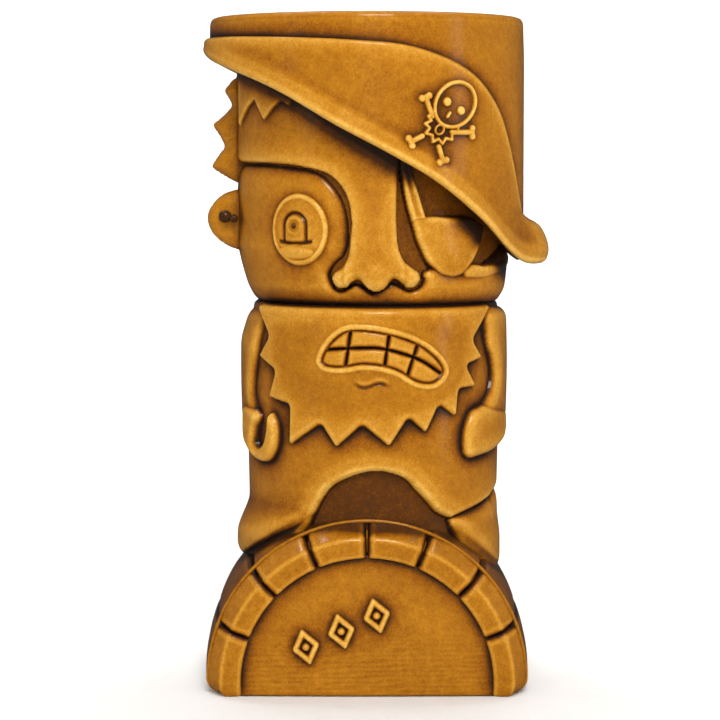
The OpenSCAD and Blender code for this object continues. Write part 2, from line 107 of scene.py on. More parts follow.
def soft(loop, reach, closed=True, steps=6):
    """A line whose corners are rounded off from up to that reach on each side of them."""
    loop = np.asarray(loop, float)
    n = len(loop)
    out = [] if closed else [loop[0]]
    for i in range(0 if closed else 1, n if closed else n - 1):
        before, at, after = loop[i - 1], loop[i], loop[(i + 1) % n]
        a = at + (before - at) * min(0.5, reach / max(1e-6, np.linalg.norm(before - at)))
        b = at + (after - at) * min(0.5, reach / max(1e-6, np.linalg.norm(after - at)))
        out += [a * (1 - t) ** 2 + at * 2 * t * (1 - t) + b * t * t for t in np.linspace(0, 1, steps)]
    if not closed:
        out.append(loop[-1])
    return np.array(out)


def quarter(d, width):
    """How far a rounded edge has drawn in, at a distance from the end."""
    d = np.clip(d, 0, width)
    return width - np.sqrt(width ** 2 - (width - d) ** 2)


barrel_low = node_box("barrel_stave_8")[0]
BARREL_R = -barrel_low[0]                       # at the bulge
BARREL_END = -barrel_low[1]                     # front plane of the stave ends
AXIS_Z = 4.0
HEAD_R = node_box("barrel_head_front")[1][0]    # inside of the stave ring
STAVE_PITCH = 23.0
torso_low, torso_high = node_box("torso_wall")
CORE_R = (torso_high[0] - torso_low[0]) / 2     # outside of the pot wall
FIGURE_X = (torso_high[0] + torso_low[0]) / 2   # where its axis stands

# Half of a stave's section, from the inner edge of its end to the bulge, as [radius, y]
half_section = [[HEAD_R, -39], [HEAD_R + 0.2, -BARREL_END + 0.4], [HEAD_R + 6.2, -BARREL_END + 0.1],
                [BARREL_R - 2.7, -37.6], [BARREL_R - 1.8, -30], [BARREL_R - 1.0, -15], [BARREL_R - 0.7, 0]]
other_half = [[r, -y] for r, y in half_section[-2::-1]]
stave_section = half_section + other_half + [[HEAD_R + 6, 33], [HEAD_R + 6, -33]]


def sponged(p):
    """The edge of the foot is sponged round."""
    tuck = quarter(p[:, 2], 5.0)
    p[:, 0] -= np.sign(p[:, 0]) * tuck * np.clip((np.abs(p[:, 0]) - 44) / 4, 0, 1)
    p[:, 1] -= np.sign(p[:, 1]) * tuck * 0.3 * np.clip((np.abs(p[:, 1]) - 41) / 3, 0, 1)
    return p


def turn_of(co):
    return math.degrees(math.atan2(co[2], co[0]))


def lifted(z, y):
    """The barrel's shoulders stand a little high half way along."""
    return z + 1.4 * (1 - (y / BARREL_END) ** 2) * np.clip(z / 30, 0, 1)


def stave(n):
    first = -20 if n == 0 else 90 + STAVE_PITCH * (n - 4)
    last = 200 if n == 7 else 90 + STAVE_PITCH * (n - 3)
    loop = dense(soft(stave_section, 1.4), 0.9)
    bm = bmesh.new()
    corners = [bm.verts.new((r, y, 0)) for r, y in loop]
    edges = [bm.edges.new(pair) for pair in zip(corners, corners[1:] + corners[:1])]
    steps = int((last - first) * math.radians(1) * BARREL_R / 0.8)
    bmesh.ops.spin(bm, geom=corners + edges, cent=(0, 0, 0), axis=(0, -1, 0), dvec=(0, 0, 0),
                   angle=math.radians(last - first), steps=steps, use_merge=False)
    for end in (first, last):
        side = [e for e in bm.edges if e.is_boundary
                and all(abs(turn_of(v.co) - (end - first)) < 0.1 for v in e.verts)]
        bmesh.ops.contextual_create(bm, geom=side)
    p = places(bm)
    radius, turn = np.hypot(p[:, 0], p[:, 2]), np.degrees(np.arctan2(p[:, 2], p[:, 0]))
    # the joint edges are pressed round, and each face swells a little between them
    from_joint = np.minimum(turn, (last - first) - turn) * math.radians(1) * radius
    draw = quarter(from_joint - 0.25, 1.5)
    swell = 0.45 * np.sin(np.pi * np.clip(turn / (last - first), 0, 1))
    outer = np.clip((radius - HEAD_R - 0.5) / 4, 0, 1)
    radius = radius + outer * (swell - draw)
    front = np.clip((np.abs(p[:, 1]) - 34) / 8, 0, 1)
    y = np.sign(p[:, 1]) * (np.abs(p[:, 1]) - front * (draw * 0.8 - swell * 0.4))
    turn = np.radians(np.clip(turn, 0.3, last - first - 0.3) + first)
    x, z = radius * np.cos(turn), radius * np.sin(turn) + AXIS_Z
    put(bm, np.stack([x, y, lifted(z, y)], axis=1))
    if n in (0, 7):
        bmesh.ops.bisect_plane(bm, geom=bm.verts[:] + bm.edges[:] + bm.faces[:], plane_co=(0, 0, 0),
                               plane_no=(0, 0, -1), clear_outer=True)
        bmesh.ops.holes_fill(bm, edges=[e for e in bm.edges if e.is_boundary])
        put(bm, sponged(places(bm)))
    return bm


def cut_round_wall(piece, radius):
    """Cuts away what would stand inside the pot wall."""
    bm = bmesh.new()
    bmesh.ops.create_cone(bm, cap_ends=True, segments=128, radius1=radius * MM, radius2=radius * MM,
                          depth=0.2)
    bmesh.ops.translate(bm, vec=(FIGURE_X * MM, 0, 0.06), verts=bm.verts[:])
    mesh = bpy.data.meshes.new("wall_cutter")
    bm.to_mesh(mesh)
    bm.free()
    cutter = bpy.data.objects.new("wall_cutter", mesh)
    bpy.context.scene.collection.objects.link(cutter)
    cut = piece.modifiers.new("cut", "BOOLEAN")
    cut.operation, cut.object, cut.solver = "DIFFERENCE", cutter, "EXACT"
    cut_piece = piece.evaluated_get(bpy.context.evaluated_depsgraph_get())
    made = bpy.data.meshes.new_from_object(cut_piece)
    piece.modifiers.clear()
    piece.data = made
    bpy.data.objects.remove(cutter)


for n in range(8):
    plank = take(stave(n), f"stave_{n + 1}", "honey_glaze", f"barrel_stave_{n + 1}")
    if 0 < n < 7:
        cut_round_wall(plank, CORE_R - 1.5)

# ---------------------------------------------------------------- barrel heads and foot
# The head is a flat clay disc sunk inside the stave ends; a comb has dragged faint grain across its
# lower half. A fine bead runs round behind the stave ends, and three raised lozenges sit on the head.


def distance_inside(points, loop):
    """Distance of each point from a closed line, positive inside it."""
    loop = np.asarray(loop, float)
    best = np.full(len(points), 1e9)
    inside = np.zeros(len(points), bool)
    for a, b in zip(loop, np.roll(loop, -1, axis=0)):
        edge = b - a
        length2 = edge @ edge
        if length2 < 1e-12:
            continue
        t = np.clip(((points - a) @ edge) / length2, 0, 1)
        gap = points - a - t[:, None] * edge
        best = np.minimum(best, (gap ** 2).sum(axis=1))
        if a[1] != b[1]:
            crosses = (a[1] > points[:, 1]) != (b[1] > points[:, 1])
            inside ^= crosses & (points[:, 0] < a[0] + edge[0] * (points[:, 1] - a[1]) / edge[1])
    return np.where(inside, 1, -1) * np.sqrt(best)


def sheet_of_clay(loop, shape, step, margin=1.1, keep=None):
    """A sheet over the outline, shaped by shape(u, z, d), where d is the distance inside it."""
    low, high = loop.min(axis=0) - margin, loop.max(axis=0) + margin
    count = np.ceil((high - low) / step).astype(int)
    bm = bmesh.new()
    bmesh.ops.create_grid(bm, x_segments=int(count[0]), y_segments=int(count[1]), size=0.5)
    flat = low + (places(bm)[:, :2] + 0.5) * (high - low)
    d = distance_inside(flat, loop)
    put(bm, shape(flat[:, 0], flat[:, 1], d))
    kept = d > -margin if keep is None else keep(flat[:, 0], flat[:, 1], d)
    far = [v for v, stays in zip(bm.verts[:], kept) if not stays]
    bmesh.ops.delete(bm, geom=far, context="VERTS")
    loose = [v for v in bm.verts if not v.link_faces]
    bmesh.ops.delete(bm, geom=loose, context="VERTS")
    bmesh.ops.recalc_face_normals(bm, faces=bm.faces[:])
    return bm


def backed(bm, inward, back=1.6):
    """Closes a sheet with a back that lies deeper in the wall, along inward(points)."""
    made = bmesh.ops.extrude_face_region(bm, geom=bm.faces[:], use_keep_orig=True)
    moved = [g for g in made["geom"] if isinstance(g, bmesh.types.BMVert)]
    p = np.array([v.co for v in moved])
    for v, q in zip(moved, p + inward(p) * back):
        v.co = q
    return bm


HEAD_Y = 43.2       # front plane of the barrel head


def head_bulge(u, z):
    """The head stands out a little in its middle."""
    return 0.7 * (1 - (u ** 2 + (z - AXIS_Z) ** 2) / HEAD_R ** 2)


def head_face(u, z, d):
    low = np.clip((22 - z) / 10, 0, 1)
    grain = 0.06 * low * np.sin(z * 5.2 + 1.3 * np.sin(u * 0.11) + 0.8 * np.sin(u * 0.37 + z))
    return np.stack([u, -(HEAD_Y + head_bulge(u, z) + grain), np.maximum(z, 0.02)], axis=1)


def straight_back(p):
    return np.tile([0.0, 1.0, 0.0], (len(p), 1))


angles = np.radians(np.linspace(-6, 186, 60))
DISC_R = HEAD_R + 0.8
head_loop = np.stack([DISC_R * np.cos(angles), AXIS_Z + DISC_R * np.sin(angles)], axis=1)
head_loop[:, 1] = np.maximum(head_loop[:, 1], 0)
front_head = sheet_of_clay(head_loop, head_face, 0.7, margin=0.3)
take(backed(front_head, straight_back, 3), "front_head", "honey_glaze", "barrel_head_front")
rear_head = sheet_of_clay(head_loop, head_face, 0.9, margin=0.3)
backed(rear_head, straight_back, 3)
bmesh.ops.scale(rear_head, vec=(1, -1, 1), verts=rear_head.verts[:])
take(rear_head, "rear_head", "honey_glaze", "barrel_head_back")

# the bead behind the stave ends, front and rear
BEAD_Y = 37.4
for side, place, bead in ((-1, "front", "front_bead"), (1, "rear", "back_bead")):
    bm = bmesh.new()
    bmesh.ops.create_circle(bm, segments=10, radius=0.55)
    bmesh.ops.translate(bm, vec=(BARREL_R - 2.35, side * BEAD_Y, 0), verts=bm.verts[:])
    bmesh.ops.spin(bm, geom=bm.verts[:] + bm.edges[:], cent=(0, 0, 0), axis=(0, -1, 0), dvec=(0, 0, 0),
                   angle=math.radians(188), steps=190, use_merge=False)
    p = places(bm)
    turn, radius = np.arctan2(p[:, 2], p[:, 0]), np.hypot(p[:, 0], p[:, 2])
    turn = np.where(turn < -1.6, turn + 2 * math.pi, turn) - math.radians(4)
    z = np.maximum(lifted(radius * np.sin(turn) + AXIS_Z, BEAD_Y), 0.3)
    put(bm, sponged(np.stack([radius * np.cos(turn), p[:, 1], z], axis=1)))
    bmesh.ops.holes_fill(bm, edges=[e for e in bm.edges if e.is_boundary])
    take(bm, f"{place}_bead", "thin_glaze", bead)

# three lozenges in raised line with a dot in each, leaning a little to the left
LOZENGE_LEAN = math.radians(14)
lozenge_corners = np.array([[0, 6.2], [4.7, 0], [0, -6.2], [-4.7, 0]])
for n in range(3):
    box_low, box_high = node_box(f"barrel_mark_{n + 1}")
    middle = (box_low + box_high) / 2
    c, s = math.cos(LOZENGE_LEAN), math.sin(LOZENGE_LEAN)
    outline = dense(soft(lozenge_corners @ np.array([[c, s], [-s, c]]) + middle[[0, 2]], 1.2), 0.6)

    def lozenge(u, z, d, middle=middle):
        frame_line = 1.5 * np.sqrt(np.clip(1 - ((d - 1.1) / 1.0) ** 2, 0, 1))
        dot = 1.4 * np.sqrt(np.clip(1 - ((u - middle[0]) ** 2 + (z - middle[2]) ** 2) / 1.9, 0, 1))
        height = np.where(d > 0, np.maximum(frame_line, dot), d) - 0.12
        return np.stack([u, -(HEAD_Y + head_bulge(u, z) + height), z], axis=1)

    mark = sheet_of_clay(outline, lozenge, 0.3, margin=0.5)
    take(backed(mark, straight_back, 1), f"lozenge_{n + 1}", "thin_glaze", f"barrel_mark_{n + 1}")

# ---------------------------------------------------------------- pot wall and coat
# The pot is a clay tube that stands on the barrel, in a darker glaze that also paints the shade of the
# recess between the legs. The pirate's long coat and legs are one thick clay sleeve round it, open in an
# arch between the legs and vented behind; it is luted on wet.


def curve(points, closed=False, steps=5):
    """A smooth line through the points."""
    p = np.asarray(points, float)
    n = len(p)
    out = []
    for i in range(n if closed else n - 1):
        a = p[i - 1] if closed or i > 0 else p[i]
        b, c = p[i], p[(i + 1) % n]
        d = p[(i + 2) % n] if closed or i + 2 < n else c
        for t in np.arange(steps) / steps:
            out.append(0.5 * (2 * b + (c - a) * t + (2 * a - 5 * b + 4 * c - d) * t * t
                              + (3 * b - a - 3 * c + d) * t ** 3))
    if not closed:
        out.append(p[-1])
    return np.array(out)


def unrolled(points, radius):
    """A front view line [x, z] laid out flat round a wall of that radius."""
    p = np.asarray(points, float)
    return np.stack([radius * np.arcsin(np.clip(p[:, 0] / radius, -1, 1)), p[:, 1]], axis=1)


def at_angles(points, radius):
    """A line given as [degrees from the front, z], laid out flat round that wall."""
    p = np.asarray(points, float)
    return np.stack([np.radians(p[:, 0]) * radius, p[:, 1]], axis=1)


def round_figure(turn, radius, z, middle=FIGURE_X):
    """Points round the figure's upright axis; turn is zero at the front and grows towards +X."""
    return np.stack([middle + radius * np.sin(turn), -radius * np.cos(turn), z], axis=1)


def on_wall(u, z, radius, flat_radius, middle=FIGURE_X):
    """The same, from the flat layout of flat_radius."""
    return round_figure(u / flat_radius, radius, z, middle)


def to_axis(p):
    """Unit steps from points towards the figure's axis."""
    flat = np.stack([FIGURE_X - p[:, 0], -p[:, 1], np.zeros(len(p))], axis=1)
    return flat / np.maximum(1e-6, np.hypot(flat[:, 0], flat[:, 1]))[:, None]


front_line = curve([[-53, 200.0], [-50.8, 198.6], [-45.5, 195.5], [-27.5, 187.2], [-9.5, 176.5], [6, 168.2],
                    [21, 159.3], [34.5, 148], [43, 138.4], [48, 133.6], [52, 132.2]])


def hat_edge(turn, radius=52):
    """Height of the hat's lower edge, which runs straight through from front to back."""
    return np.interp(radius * np.sin(turn), front_line[:, 0], front_line[:, 1])


def relief(name, loop, flat_radius, height, step=0.6, margin=1.0, base=None, back=2.0):
    """A clay piece on the round wall: height(u, z, d) over the base radius, d inside the outline."""
    def shape(u, z, d):
        under = base(u, z) if base else flat_radius
        return on_wall(u, z, under + height(u, z, d), flat_radius)

    def keep(u, z, d):
        # nothing stands up inside the hat
        return (d > -margin) & (z < hat_edge(u / flat_radius, flat_radius) + 0.3)

    bm = sheet_of_clay(loop, shape, step, margin, keep)
    take(backed(bm, to_axis, back), name, "honey_glaze", name)


def turned(section, steps, place):
    """A closed section [radius, height] turned once round, then moved by place(turn, radius, height)."""
    section = np.asarray(section, float)
    bm = bmesh.new()
    bmesh.ops.create_grid(bm, x_segments=steps, y_segments=len(section), size=0.5)
    flat = places(bm)[:, :2] + 0.5
    at = section[np.rint(flat[:, 1] * len(section)).astype(int) % len(section)]
    put(bm, place(math.pi * (2 * flat[:, 0] - 1), at[:, 0], at[:, 1]))
    return bm


def ring(section, step, place):
    """The same, from a section given by its corners."""
    return turned(dense(section, step), int(2 * math.pi * max(r for r, z in section) / step), place)


def ease(x, low, high):
    t = np.clip((x - low) / (high - low), 0, 1)
    return t * t * (3 - 2 * t)


def rounded(d, width):
    """Rises in a quarter circle from 0 at an outline to 1 at that distance inside it."""
    return np.sqrt(1 - (1 - np.clip(d / width, 0, 1)) ** 2)


def pad(d, height, width, dip):
    """A pad with a rounded edge of that width, which dips under outside its outline."""
    return np.where(d > 0, height * rounded(d, width), d * dip)


tube = [[CORE_R, 38], [CORE_R, 119.6], [CORE_R - 4.5, 119.6], [CORE_R - 4.5, 38]]
# the darker glaze of the pot wall is partly painted shade of the recess behind the arch
take(ring(tube, 1.0, round_figure), "pot_wall", "dark_glaze", "torso_wall")

COAT_R = 40.0
NECK_Z = 121.2
COAT_BACK = 34.6        # the sleeve's inside, sunk in the pot wall
arch = curve([[-33, 36.5], [-28.5, 40.5], [-24.5, 46], [-20.5, 52], [-17.3, 59], [-12.6, 65], [-2, 69.2],
              [8, 68], [15, 62], [20.5, 56], [25, 53.6]])
hem = np.array([[27.5, 54.4], [37.5, 58]])
side_hem = [[74, 59], [88, 61], [104, 61], [118, 54], [135, 45], [168, 41.5], [177.5, 41.5], [180, 58],
            [182.5, 41.5], [192, 41.5], [225, 45], [240, 50]]
wrapped = at_angles(side_hem, COAT_R)
coat_low = np.concatenate([unrolled(arch, COAT_R), unrolled(hem, COAT_R), wrapped])
before = wrapped[-5:].copy()
before[:, 0] -= 2 * math.pi * COAT_R
left_side = at_angles([[-112, 44], [-104, 38], [-90, 33], [-70, 33]], COAT_R)
top_end = COAT_R * math.radians(240)
coat_loop = dense(np.concatenate([before, left_side, coat_low, [[top_end, 130], [-top_end, 130]]]), 2.0)


def boot_spread(turn, z):
    """The sleeve spreads over the left boot."""
    return 0.9 * ease(-z, -60, -44) * ease(-turn, math.radians(20), math.radians(60))


def coat(turn, radius, z):
    turn = np.where(turn > math.radians(200), turn - 2 * math.pi, turn)
    d = distance_inside(np.stack([turn * COAT_R, z], axis=1), coat_loop)
    outer = radius > 37.5
    thick = 4.3 * rounded(d, 2.2)
    # the coat tucks in under the chin, hangs a little full, and is narrower at the shoulders
    top = np.clip((z - (NECK_Z - 1.9)) / 1.7, 0, 1)
    tuck = 0.9 * (1 - np.sqrt(1 - top ** 2))
    full = 0.45 * np.sin(np.pi * np.clip((z - 60) / 58, 0, 1))
    shoulder = 1.7 * ease(z, 110, NECK_Z) * np.clip(-np.sin(turn), 0, 1) ** 2
    swell = (boot_spread(turn, z) + full) * np.clip(thick / 4.3, 0, 1)
    wall = 35.7 + thick + swell - tuck - shoulder
    radius = np.where(outer, np.where(d > 0, wall, 35.3 + 0.2 * np.clip(d + 2, 0, 1)), COAT_BACK)
    return round_figure(turn, radius, z)


COAT_STEP = 0.62
COAT_TOP = NECK_Z - 0.2
coat_outside = dense([[COAT_BACK, 31], [COAT_R, 31], [COAT_R, COAT_TOP], [COAT_BACK, COAT_TOP]], COAT_STEP,
                     closed=False)
coat_inside = [[COAT_BACK, z] for z in np.linspace(NECK_Z - 4, 35, 20)]
sleeve = turned(np.concatenate([coat_outside, coat_inside]), int(2 * math.pi * COAT_R / COAT_STEP), coat)
take(sleeve, "coat", "honey_glaze", "coat", "left_leg")

# ---------------------------------------------------------------- boots
# Rounded lumps of clay thumbed on at the feet. The left one is a full dome that rests on the barrel's
# shoulder; the right one is tucked behind the coat's hem.

boot_front = unrolled([[-38.6, 40.6], [-34.5, 44.4], [-30, 47.8], [-26, 50.4], [-22.4, 52.8], [-21.0, 55.2],
                       [-23.6, 57.6], [-28, 59.4], [-33, 61]], COAT_R)
boot_side = at_angles([[-66, 62.5], [-84, 63], [-102, 60], [-112, 52], [-112, 42], [-100, 38.6],
                       [-84, 38.8]], COAT_R)
boot_loop = curve(np.concatenate([boot_front, boot_side]), closed=True, steps=3)


def boot_dome(u, z, d):
    lump = 3.1 * rounded(d, 5.0) * ease(-z, -59, -46)
    return boot_spread(u / COAT_R, z) + np.where(d > 0, lump, d * 1.4) - 0.1


relief("left_boot", boot_loop, COAT_R, boot_dome, back=3)

right_front = unrolled([[39, 57.6], [37.5, 58.6], [27, 55.4], [24.6, 54], [25.5, 50.5], [28.5, 45],
                        [33, 40.5], [36, 36]], COAT_R)
right_side = at_angles([[72, 33.5], [90, 33], [112, 36], [112, 60], [90, 61.5]], COAT_R)
right_loop = dense(soft(np.concatenate([right_front, right_side]), 1.5), 1.0)


def right_lump(u, z, d):
    lump = 3.3 * rounded(d, 6)
    return np.where(d > 0, lump + 0.9 * ease(-z, -54, -44), d * 1.2) - 3.1


relief("right_boot", right_loop, COAT_R, right_lump)

# ---------------------------------------------------------------- arms, hook and hand
# Rolled clay arms pressed flat along both sides of the coat. The left one ends in a curled hook, the
# right one in a closed fist; both are luted to the coat.

ARM_R = 42.0
arm_edge_left = [[-57, 118.9], [-80, 119.1], [-98, 118.2], [-107, 111], [-108, 100], [-102, 88], [-88, 81],
                 [-72, 82], [-62.5, 86], [-66, 92], [-65, 99], [-60.5, 109]]
left_loop = curve(at_angles(arm_edge_left, ARM_R), closed=True, steps=3)


def arm(u, z, d):
    roll = 3.1 * rounded(d, 4.2)
    elbow = 0.35 * np.sin(np.pi * np.clip((z - 84) / 34, 0, 1))
    return np.where(d > 0, roll + elbow, d * 1.5) - 2.2


relief("left_arm", left_loop, ARM_R, lambda u, z, d: arm(u, z, d) - 0.6 - 2.4 * ease(z, 107, 119.5))
arm_edge_right = [[59, 118.9], [80, 119.1], [98, 118.2], [107, 111], [108, 100], [102, 88], [88, 81.5],
                  [72, 83], [50, 86], [56.5, 89.4], [63, 93.4], [65.5, 98], [64, 103], [59.5, 109]]
right_loop = curve(at_angles(arm_edge_right, ARM_R), closed=True, steps=3)
relief("right_arm", right_loop, ARM_R, arm)

hook_edge = [[-76, 88], [-63, 87.4], [-59, 85], [-62, 81], [-63.5, 76.8], [-60, 75.4], [-55.5, 77.4],
             [-53.5, 81.4], [-52.5, 85.6], [-49.5, 87], [-46, 84], [-45.2, 79.6], [-47, 75], [-52, 71.4],
             [-61, 71], [-70, 73.6], [-77, 78]]
hook_loop = curve(at_angles(hook_edge, ARM_R), closed=True, steps=4)
relief("hook", hook_loop, ARM_R, lambda u, z, d: pad(d, 3.6, 2.6, 1.5) - 2.2, 0.4, margin=0.8)

hand_edge = [[46.5, 87.6], [43, 83], [41.8, 78], [42.8, 74.2], [46, 72.4], [62, 73.4], [78, 76], [84, 80],
             [82, 87], [56, 89.5]]
hand_loop = dense(soft(at_angles(hand_edge, ARM_R), 2.2), 0.7)
relief("right_hand", hand_loop, ARM_R, lambda u, z, d: pad(d, 3.7, 3.2, 1.5) - 2.2, 0.5, margin=0.8)

# ---------------------------------------------------------------- beard, mouth and teeth
# A flat sheet of clay cut into a jagged beard hangs from the chin over the coat. The mouth is a sunk
# oval with a raised lip, filled by eight cushioned teeth pressed in side by side.

BEARD_R = 42.4
beard_points = [[-37.2, 120.5], [-33.3, 111], [-36.8, 104.3], [-31.4, 100.2], [-33.6, 91.6], [-26.8, 89.8],
                [-27, 77], [-16.7, 84.2], [-12, 77], [-3.6, 84.2], [5, 77.4], [11, 86.2], [16.7, 81.4],
                [20.7, 89.8], [26.4, 86], [27.2, 94.6], [33, 95.2], [29.7, 102], [35, 104], [31.7, 110],
                [37.6, 120.5]]
beard_loop = dense(soft(unrolled(beard_points, BEARD_R), 1.5), 0.8)
mouth_points = [[-16.5, 105], [-13, 111], [-7, 114.5], [4, 113.5], [14, 110], [20.5, 104.5], [22, 100],
                [18.5, 96.5], [13, 97], [6, 101], [-2.5, 102.5], [-9.5, 101.5], [-15, 102]]
mouth_loop = dense(unrolled(curve(mouth_points, closed=True), BEARD_R), 0.7)


def beard(u, z, d):
    edge = 2.5 * rounded(d, 1.9)
    m = distance_inside(np.stack([u, z], axis=1), mouth_loop)
    # the sheet swells a little round the mouth, which is sunk into it
    pout = 0.7 * np.exp(-(np.clip(-m, 0, 30) / 5.5) ** 2) * ease(d, 0, 6)
    pit = -2.4 * ease(m, -0.5, 0.7)
    crease_z = 96.6 + 0.75 * np.sin((u + 0.5) * 0.62) - 0.05 * u
    crease = -0.55 * np.exp(-((z - crease_z) / 0.55) ** 2) * ease(6.2 - np.abs(u + 0.5), 0, 3)
    roll = 0.3 * np.exp(-((z - crease_z - 1.3) / 0.8) ** 2) * ease(6.2 - np.abs(u + 0.5), 0, 3)
    return np.where(d > 0, edge + pout + pit + crease + roll, d * 1.4) - 2.4


relief("beard", beard_loop, BEARD_R, beard, 0.5, margin=0.7, back=1.6)


def lip(u, z, d):
    roll = 0.75 * np.sqrt(np.clip(1 - (d + 0.3) ** 2, 0, 1)) - 0.5 * np.clip(np.abs(d + 0.3) - 0.9, 0, 3)
    return on_wall(u, z, BEARD_R + 0.35 + roll, BEARD_R)


lip_bm = sheet_of_clay(mouth_loop, lip, 0.3, 1.5, keep=lambda u, z, d: np.abs(d) < 1.5)
take(backed(lip_bm, to_axis, 1.2), "mouth_rim", "thin_glaze", "mouth_rim")

# the line where the two rows meet, and the lines between the teeth as x at the top and at the bottom
bite = unrolled(curve([[-22, 106.2], [-15, 107.6], [-2.5, 108.3], [4, 107.8], [13.5, 104.8], [20, 100.6],
                       [26, 96]]), BEARD_R)
gaps = [[-24, -24], [-7, -9], [5, 3], [15, 10.5], [30, 26]]


def past_gap(u, z, gap):
    top, bottom = BEARD_R * np.arcsin(np.array(gap) / BEARD_R)
    slope = (top - bottom) / 14
    return (u - bottom - slope * (z - 100)) / math.hypot(1, slope)


def beyond_bite(u, z):
    at = np.interp(u, bite[:, 0], bite[:, 1])
    slope = np.interp(u + 0.5, bite[:, 0], bite[:, 1]) - np.interp(u - 0.5, bite[:, 0], bite[:, 1])
    return (z - at) / np.hypot(1, slope)


for n in range(8):
    def tooth_gap(u, z, d, n=n):
        across = np.minimum(past_gap(u, z, gaps[n % 4]), -past_gap(u, z, gaps[n % 4 + 1]))
        up = beyond_bite(u, z) * (1 if n < 4 else -1)
        return np.minimum(np.minimum(d - 0.62, across - 0.06), up - 0.06)

    def tooth(u, z, d):
        return on_wall(u, z, BEARD_R - 1.15 + pad(tooth_gap(u, z, d), 1.95, 1.6, 1.5), BEARD_R)

    bm = sheet_of_clay(mouth_loop, tooth, 0.32, 0.0, keep=lambda u, z, d: tooth_gap(u, z, d) > -0.45)
    take(backed(bm, to_axis, 1.0), f"tooth_{n + 1}", "thin_glaze", f"tooth_{n + 1}")

# ---------------------------------------------------------------- head, cheeks and forehead
# The head is a rounded clay drum that sits on the coat with a deep crease between them. Both cheeks and
# the heavy forehead with its nose are thick pads luted on; the right eye socket is left as a deep hollow.

HEAD_WALL = 41.0
RIM_Z = node_box("hat_crown")[1][2]


def head_base(z, turn):
    """The head narrows to the neck like a ball, and more so on its left."""
    low = np.clip((140 - z) / 19.5, 0, 1.02)
    left = (1 - np.sin(turn)) / 2
    return HEAD_WALL - 2.0 * (1 - left) * low ** 2.3 - 5.4 * left * low ** 1.35


def socket(u, z):
    """One inside the hollow round the eye patch, zero elsewhere."""
    return ease(u, 7, 11) * ease(z, 129, 134.5) * ease(-u, -46, -38)


def head_shell(turn, radius, t):
    top = hat_edge(turn, radius) + 1
    z = NECK_Z + 0.2 + (top - NECK_Z - 0.2) * t
    outer = radius > 38.5
    wall = head_base(z, turn) - 0.8 * socket(turn * HEAD_WALL, z)
    return round_figure(turn, np.where(outer, wall, np.minimum(radius, wall - 3)), z)


def tall_ring(outer, inner, rows, place):
    """A ring whose heights run 0 to 1, with that many rows on its outside."""
    line = [[outer, t] for t in np.linspace(0, 1, rows)]
    line += [[inner, t] for t in np.linspace(1, 0, rows // 6)]
    return turned(line, 420, place)


# the head wall shows only between the pads; its darker glaze is partly painted shade of those recesses
take(tall_ring(HEAD_WALL, 36, 120, head_shell), "head_wall", "dark_glaze", "head_wall")

under_nose = [[14.5, 131.6], [15.2, 129.2], [13.6, 126.9], [10.6, 126.5], [8, 128.5], [6, 129.0],
              [3.6, 126.5], [0.8, 125.5], [-2, 126.5], [-4.6, 128.9], [-6.5, 128.5], [-8.8, 126.7],
              [-11.8, 126.7], [-13.6, 128.8], [-13.2, 131.2], [-10.6, 133.0]]
brow_left = curve([[-10.6, 133.0], [-8.2, 136.4], [-7.4, 142], [-7.2, 148], [-8.6, 154.6], [-12, 159.6],
                   [-17, 162.4], [-28.5, 164.4], [-41, 165]])
brow_right = curve([[8.6, 172], [8.2, 164], [7.4, 154], [7.2, 146], [7.9, 139], [10, 134.9], [14.5, 131.6]])
BROW_R = 43.4
brow_front = np.concatenate([unrolled(brow_right, BROW_R), unrolled(curve(under_nose), BROW_R),
                             unrolled(brow_left, BROW_R)])
brow_top = at_angles([[-74, 165], [-88, 165], [-88, 210], [30, 210], [14, 176]], BROW_R)
brow_loop = dense(np.concatenate([brow_front, brow_top]), 1.5)


def brow(u, z, d):
    edge = 1.2 + 2.1 * rounded(d, 2.4)
    ridge = 1.3 * np.sqrt(np.clip(1 - ((u - 0.3) / 9.5) ** 2, 0, 1)) * ease(-z, -160, -131)
    wings = 0.0
    for at in ((-9.9, 130.1), (11.4, 129.9)):
        far = np.hypot(u - at[0], (z - at[1]) * 0.95)
        wings = wings + 1.3 * np.exp(-(far / 3.6) ** 2) * ease(d, 0, 2.2)
    tip = 1.0 * np.exp(-(np.hypot(u - 0.8, (z - 130.1)) / 4.2) ** 2) * ease(d, 0, 2.5)
    # a groove runs down each side of the nose tip
    sides = -0.45 * (np.exp(-((u + 5.6) / 1.3) ** 2) + np.exp(-((u - 6.8) / 1.3) ** 2))
    sides = sides * ease(-z, -133.5, -128.5)
    return np.where(d > 0, edge + ridge + wings + tip + sides * ease(d, 0, 2), d * 1.4) - 0.9


def brow_base(u, z):
    return np.maximum(head_base(z, u / BROW_R), 39.6) + 0.4


relief("forehead_and_nose", brow_loop, BROW_R, brow, 0.55, margin=0.8,
       base=brow_base, back=3)

CHEEK_R = 42.0
BEHIND = CHEEK_R * math.radians(180.6)      # the cheeks meet behind the head
cheek_front = unrolled(curve([[-41.5, 164.5], [-30, 163.9], [-17.2, 161.6], [-9.9, 153.4], [-7.9, 143],
                              [-9.2, 137.2], [-12.6, 133.9], [-14.2, 130.6], [-12.6, 126.2], [-9.5, 125.7],
                              [-5.5, 127.9], [-0.3, 124.9], [4, 125.8]]), CHEEK_R)
cheek_loop = dense(np.concatenate([cheek_front, [[4, 121.0], [-BEHIND, 121.0], [-BEHIND, 163.6]]]), 1.5)


def cheek(u, z, d):
    width = 2.2 + 7.3 * ease(z, 130, 139)
    dome = 2.3 * rounded(d, width)
    behind = ease(u, -CHEEK_R * math.radians(150), -CHEEK_R * math.radians(100))
    low = ease(z, 119.6, 127)
    return np.where(d > 0, 0.25 + dome * (0.55 + 0.45 * low) * behind, 0.25 + d * 0.8)


def cheek_base(u, z):
    return head_base(z, u / CHEEK_R)


relief("left_cheek", cheek_loop, CHEEK_R, cheek, margin=0.8, base=cheek_base, back=3)

